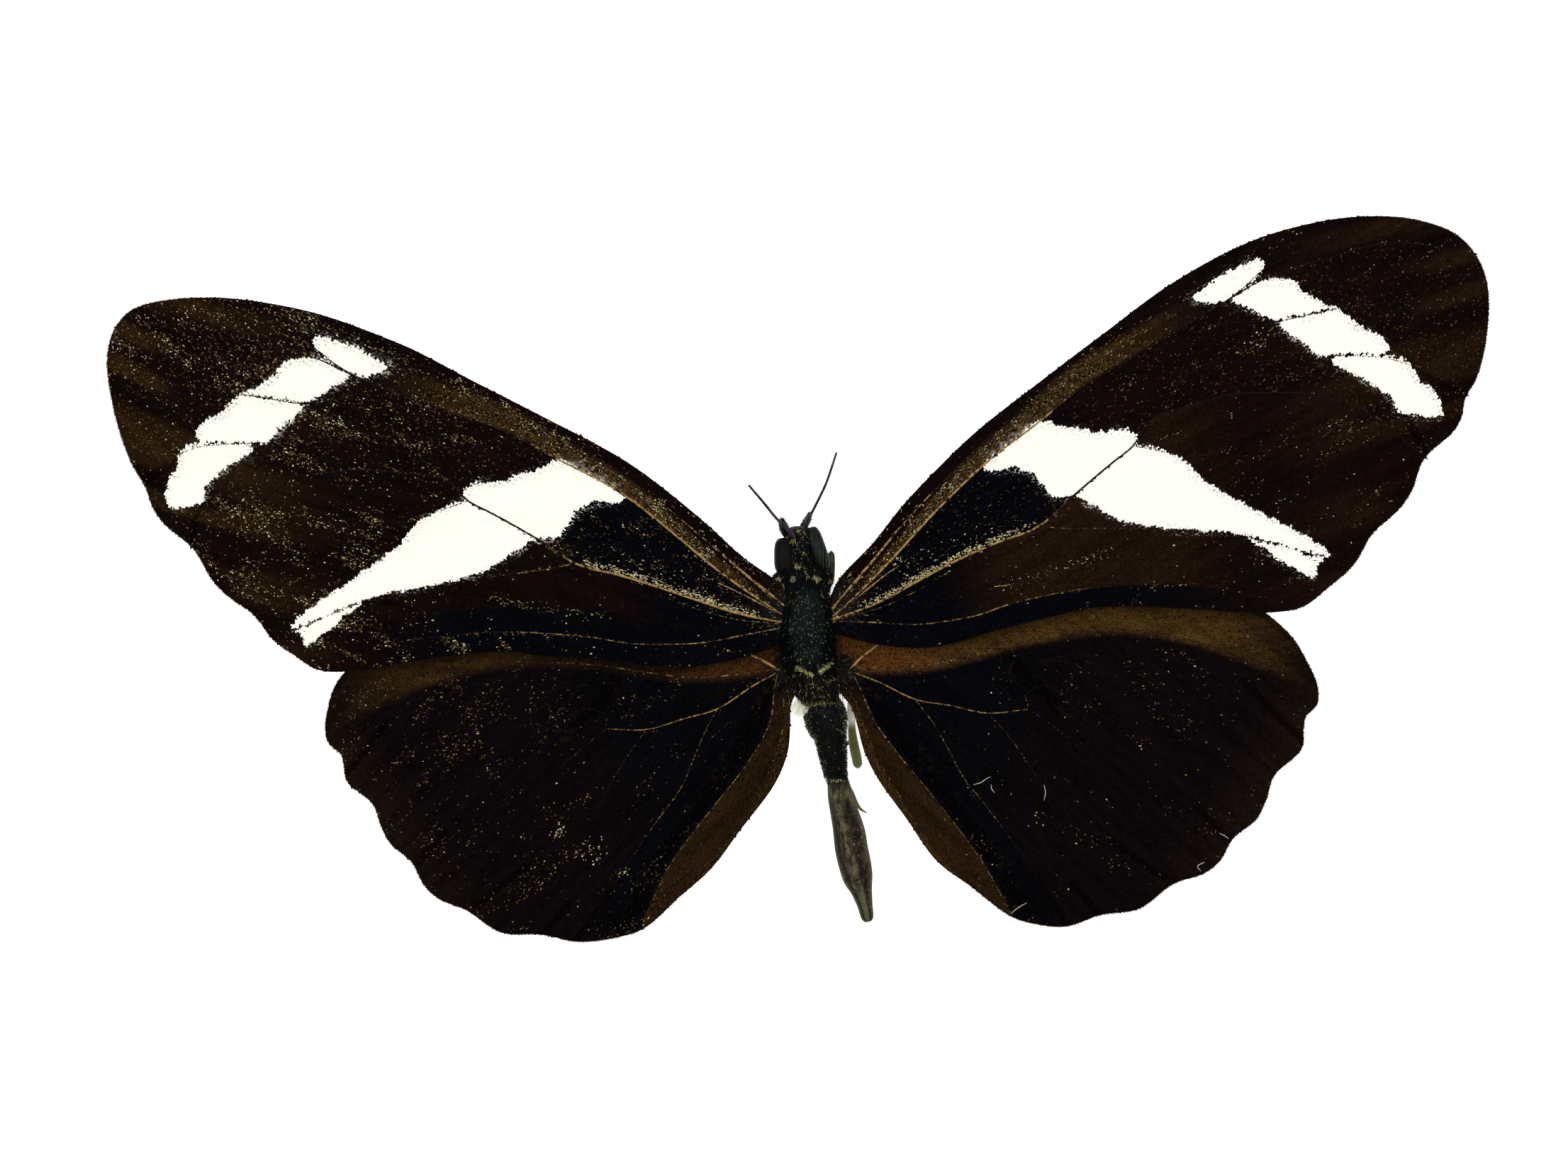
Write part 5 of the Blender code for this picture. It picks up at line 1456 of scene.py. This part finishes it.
class LONGWING_OT_coat(bpy.types.Operator):
    """Hair and scales of head, thorax and abdomen"""
    bl_idname = "longwing.coat"
    bl_label = "Body coat"

    def execute(self, context):
        rng = np.random.default_rng(77)
        rows = smooth_path(BODY, BODY_STEP)
        place, angle, chart, ahead, out = self.strew(rng, rows[rows[:, 1] > COAT_END])
        lean = rng.uniform(1.2, 2.2, COAT_HAIRS)[:, None]
        lie = unit(ahead * lean + out + rng.normal(0.0, 0.3, (COAT_HAIRS, 3)))
        sideways = unit(np.cross(out, lie))
        lengths, widths, values = self.tint(rng, place, angle)
        join_plates("body_coat", place * MM + SHIFT, lie, sideways, np.cross(lie, sideways), lengths, widths,
                    HAIR_LIFT * MM, HAIR_LIFT * MM, hair_paint(), "body_hair", values, chart)
        return {"FINISHED"}

    def strew(self, rng, rows):
        """Places of the hairs, their angles round the body, their map, and the directions along and out."""
        density = (rows[:, 3] + rows[:, 4]) * np.where(rows[:, 1] > ABDOMEN_FRONT, 1.0, 0.6)
        density = density * np.where(rows[:, 1] > FACE_BACK, 3.0, 1.0)
        level = rng.choice(len(rows) - 1, COAT_HAIRS, p=density[:-1] / density[:-1].sum())
        share = rng.random(COAT_HAIRS)[:, None]
        row = rows[level] * (1 - share) + rows[level + 1] * share
        ahead = unit(rows[level + 1][:, :3] - rows[level][:, :3])
        across = unit(np.cross(ahead, UP))
        up = np.cross(across, ahead)
        angle = rng.uniform(0.0, 2 * math.pi, COAT_HAIRS)
        cosine, sine = np.cos(angle), np.sin(angle)
        out = unit(across * (cosine / row[:, 3])[:, None] + up * (sine / row[:, 4])[:, None])
        place = row[:, :3] + across * (row[:, 3] * cosine)[:, None] + up * (row[:, 4] * sine)[:, None]
        chart = np.column_stack([angle / (2 * math.pi), (level + share[:, 0]) / len(rows)]) * 0.99
        return place, angle, chart, ahead, out

    def tint(self, rng, place, angle):
        """Length, half width and colour amounts of each hair."""
        x, y, z = place.T
        count = len(place)
        head, abdomen, seen = y > HEAD_BACK, y < ABDOMEN_FRONT, z > 3.9
        waist = (y < WAIST_FRONT) & ~abdomen
        from_disc = (place[:, :2] - DISC_CENTRE) / DISC_HALF_SIZE
        disc = smooth_step(1.12, 0.92, np.hypot(*from_disc.T)) * (z > 3.5)
        lengths = settings().sizes.hair_length * MM * rng.uniform(0.6, 1.2, count)
        lengths = lengths * np.where(abdomen, 0.55, np.where(head, 0.7, 1.0 - 0.3 * disc))
        gold = scatter(np.zeros(count), rng, 0.02 + 0.07 * disc + 0.05 * head, 0.2, 0.95)
        widths = HAIR_HALF_WIDTH * MM * np.where((gold > 0.0) & (disc > 0.0), 0.55, 1.0)
        gold = scatter(gold, rng, 0.06 * waist, 0.2, 0.9)
        for tuft_x, tuft_y, radius in PALE_TUFTS:
            near = smooth_step(1.3 * radius, 0.8 * radius, np.hypot(x - tuft_x, y - tuft_y)) * seen
            gold = scatter(gold, rng, 0.75 * near, 0.35, 1.0)
        for ends in SCUTELLUM_MARKS:
            near = smooth_step(0.12, 0.05, segment_reach(place[:, :2], ends)) * seen
            gold = scatter(gold, rng, 0.9 * near, 0.7, 1.0)
        flank = abdomen * smooth_step(0.55, 0.8, np.abs(np.cos(angle)))
        gold = scatter(gold, rng, flank * (0.08 + 0.22 * smooth_step(-6.0, -5.0, y)), 0.15, 0.6)
        beside_waist = (np.abs(y - FLUFF_PLACE) < FLUFF_REACH) & (np.cos(angle) > 0.6) & (z < 3.7)
        fluff = (rng.random(count) < 0.7) & beside_waist
        for middle, half_width, share, low, high in PALE_RINGS:
            gold = scatter(gold, rng, share * (np.abs(y - middle) < half_width), low, high)
        tone = rng.normal(0.12, 0.10, count) + disc * rng.uniform(0.0, 0.8, count) - 0.2 * abdomen
        brown = np.where(rng.random(count) < 0.25 * waist + 0.2 * abdomen, 0.5, 0.0)
        values = {"gold": gold, "brown": brown, "pale": fluff, "tone": np.clip(tone, 0.0, 1.0)}
        return lengths * np.where(fluff, FLUFF_LENGTH, 1.0), widths, values


class LONGWING_OT_eyes(bpy.types.Operator):
    """Two compound eyes"""
    bl_idname = "longwing.eyes"
    bl_label = "Eyes"

    def execute(self, context):
        for side, (centre, half_size, lean) in EYES.items():
            bm = bmesh.new()
            bmesh.ops.create_uvsphere(bm, u_segments=48, v_segments=32, radius=1.0)
            for vert in bm.verts:
                vert.co /= sum(abs(part) ** EYE_SQUARENESS for part in vert.co) ** (1.0 / EYE_SQUARENESS)
            turned = Matrix.Translation(centre) @ Matrix.Rotation(lean, 4, "Z")
            bmesh.ops.transform(bm, matrix=turned @ Matrix.Diagonal((*half_size, 1.0)), verts=bm.verts)
            to_scene(bm)
            add_piece("eye_%s_lens" % side, mesh_from(bm, "eye"), eye_paint(side), "eye", "eye_" + side)
        return {"FINISHED"}


class LONGWING_OT_legs(bpy.types.Operator):
    """Six folded legs with claws and short spines"""
    bl_idname = "longwing.legs"
    bl_label = "Legs"

    def execute(self, context):
        colours = settings().colours
        plain = chitin_paint("leg_chitin", colours.leg_green, colours.abdomen_pale, 0.6)
        shown = hind_leg_paint()
        for name, rows in LEGS.items():
            path = tube_path(rows, LIMB_STEP)
            bm = skin(path, LIMB_SIDES)
            hidden = name.startswith("foreleg")
            if name == SHOWN_LEG:
                skin(tube_path(HIND_FOOT, LIMB_STEP), LIMB_SIDES, bm=bm)
            elif not hidden:
                self.add_claws(bm, path)
                self.add_spines(bm, path)
            keep_above_floor(bm)
            to_scene(bm)
            add_piece(name + "_limb", mesh_from(bm, name), shown if name == SHOWN_LEG else plain,
                      "body_hair" if hidden else "chitin", name)
        return {"FINISHED"}

    def add_claws(self, bm, path):
        """Two hooked claws at the end of the foot."""
        tip = path[-1, :3]
        ahead = path[-1, :3] - path[-3, :3]
        ahead /= np.linalg.norm(ahead)
        aside = np.array((-ahead[1], ahead[0], 0.0))
        for sign in (-1, 1):
            claw = [(*(tip - 0.04 * ahead), 0.045), (*(tip + 0.10 * ahead + sign * 0.06 * aside), 0.035),
                    (*(tip + 0.19 * ahead + sign * 0.13 * aside - (0, 0, 0.04)), 0.012)]
            skin(tube_path(claw, 0.06), THREAD_SIDES, bm=bm)

    def add_spines(self, bm, path):
        """Short spines round the outer half of a leg."""
        rng = np.random.default_rng(9)
        for place in path[len(path) // 2::2]:
            turn = rng.uniform(0.0, 2 * math.pi)
            out = np.array((math.cos(turn), math.sin(turn), 0.25))
            add_thorn(bm, place, out, (0.03, 0.10), (0.022, 0.018, 0.005), 4)


class LONGWING_OT_feelers(bpy.types.Operator):
    """Broken feelers, palps and the coiled tongue"""
    bl_idname = "longwing.feelers"
    bl_label = "Feelers"

    def execute(self, context):
        colours = settings().colours
        plum = chitin_paint("feeler_chitin", colours.body_black, colours.feeler_plum, 0.3)
        hair = chitin_paint("palp_hair", colours.body_black, colours.body_green, 0.2)
        for name, rows in ANTENNAE.items():
            path = tube_path(rows, 0.05)
            path[:, 3:] *= (1.0 + 0.10 * np.cos(np.arange(len(path)) * 2 * math.pi / 3.0))[:, None]
            bm = skin(path, 12)
            to_scene(bm)
            add_piece(name + "_flagellum", mesh_from(bm, name), plum, "chitin", name)
        for name, rows in PALPS.items():
            path = tube_path(rows, 0.06)
            bm = skin(path, LIMB_SIDES)
            self.add_bristles(bm, path)
            to_scene(bm)
            add_piece(name + "_brush", mesh_from(bm, name), hair, "body_hair", name)
        self.curl_tongue(chitin_paint("tongue_chitin", colours.body_black, colours.leg_green, 0.3))
        return {"FINISHED"}

    def add_bristles(self, bm, path):
        """Bristles all over a palp, leaning forwards and up."""
        rng = np.random.default_rng(21)
        for place in np.repeat(path[2:], 5, axis=0):
            out = rng.normal(0.0, 1.0, 3)
            out = out / np.linalg.norm(out) + (0.0, 0.5, 0.7)
            out /= np.linalg.norm(out)
            add_thorn(bm, place, out, (0.04, 0.12), (0.02, 0.014, 0.003), 3)

    def curl_tongue(self, material):
        """The tongue, from the mouth down into its coil."""
        x, y, z = COIL_CENTRE
        rows = [(*MOUTH, TONGUE_RADII[0]), (x, y - COIL_RADII[0], (MOUTH[2] + z) / 2, TONGUE_RADII[0])]
        for share in np.linspace(0.0, 1.0, 61):
            turn = math.pi + COIL_TURN * share
            reach, thick = (np.interp(share, (0.0, 1.0), ends) for ends in (COIL_RADII, TONGUE_RADII))
            rows.append((x, y + reach * math.cos(turn), z + reach * math.sin(turn), thick))
        bm = skin([(*row, row[3]) for row in rows], 12, sideways=(1, 0, 0))
        to_scene(bm)
        add_piece("proboscis_coil", mesh_from(bm, "proboscis"), material, "chitin", "proboscis")


class LONGWING_PT_panel(bpy.types.Panel):
    """Lists the longwing's steps and values"""
    bl_label = "Longwing"
    bl_space_type = "VIEW_3D"
    bl_region_type = "UI"
    bl_category = "Longwing"

    def draw(self, context):
        for step in STEPS:
            self.layout.operator(step.bl_idname)
        values = context.scene.longwing
        for group in (values.sizes, values.colours, values.stage):
            for name in group.bl_rna.properties.keys():
                if name not in ("rna_type", "name"):
                    self.layout.prop(group, name)


STEPS = (
    LONGWING_OT_stage, LONGWING_OT_membranes, LONGWING_OT_veins, LONGWING_OT_scales, LONGWING_OT_fringes,
    LONGWING_OT_fibres, LONGWING_OT_roots, LONGWING_OT_body, LONGWING_OT_coat, LONGWING_OT_eyes,
    LONGWING_OT_legs, LONGWING_OT_feelers)
GROUPS = (LongwingSizes, LongwingColours, LongwingStage, LongwingSettings)


def register():
    for kind in (*GROUPS, *STEPS, LONGWING_PT_panel):
        bpy.utils.register_class(kind)
    bpy.types.Scene.longwing = PointerProperty(type=LongwingSettings)


def unregister():
    del bpy.types.Scene.longwing
    for kind in reversed((*GROUPS, *STEPS, LONGWING_PT_panel)):
        bpy.utils.unregister_class(kind)


def main():
    register()
    for step in STEPS:
        group, name = step.bl_idname.split(".")
        getattr(getattr(bpy.ops, group), name)()


if __name__ == "__main__":
    main()
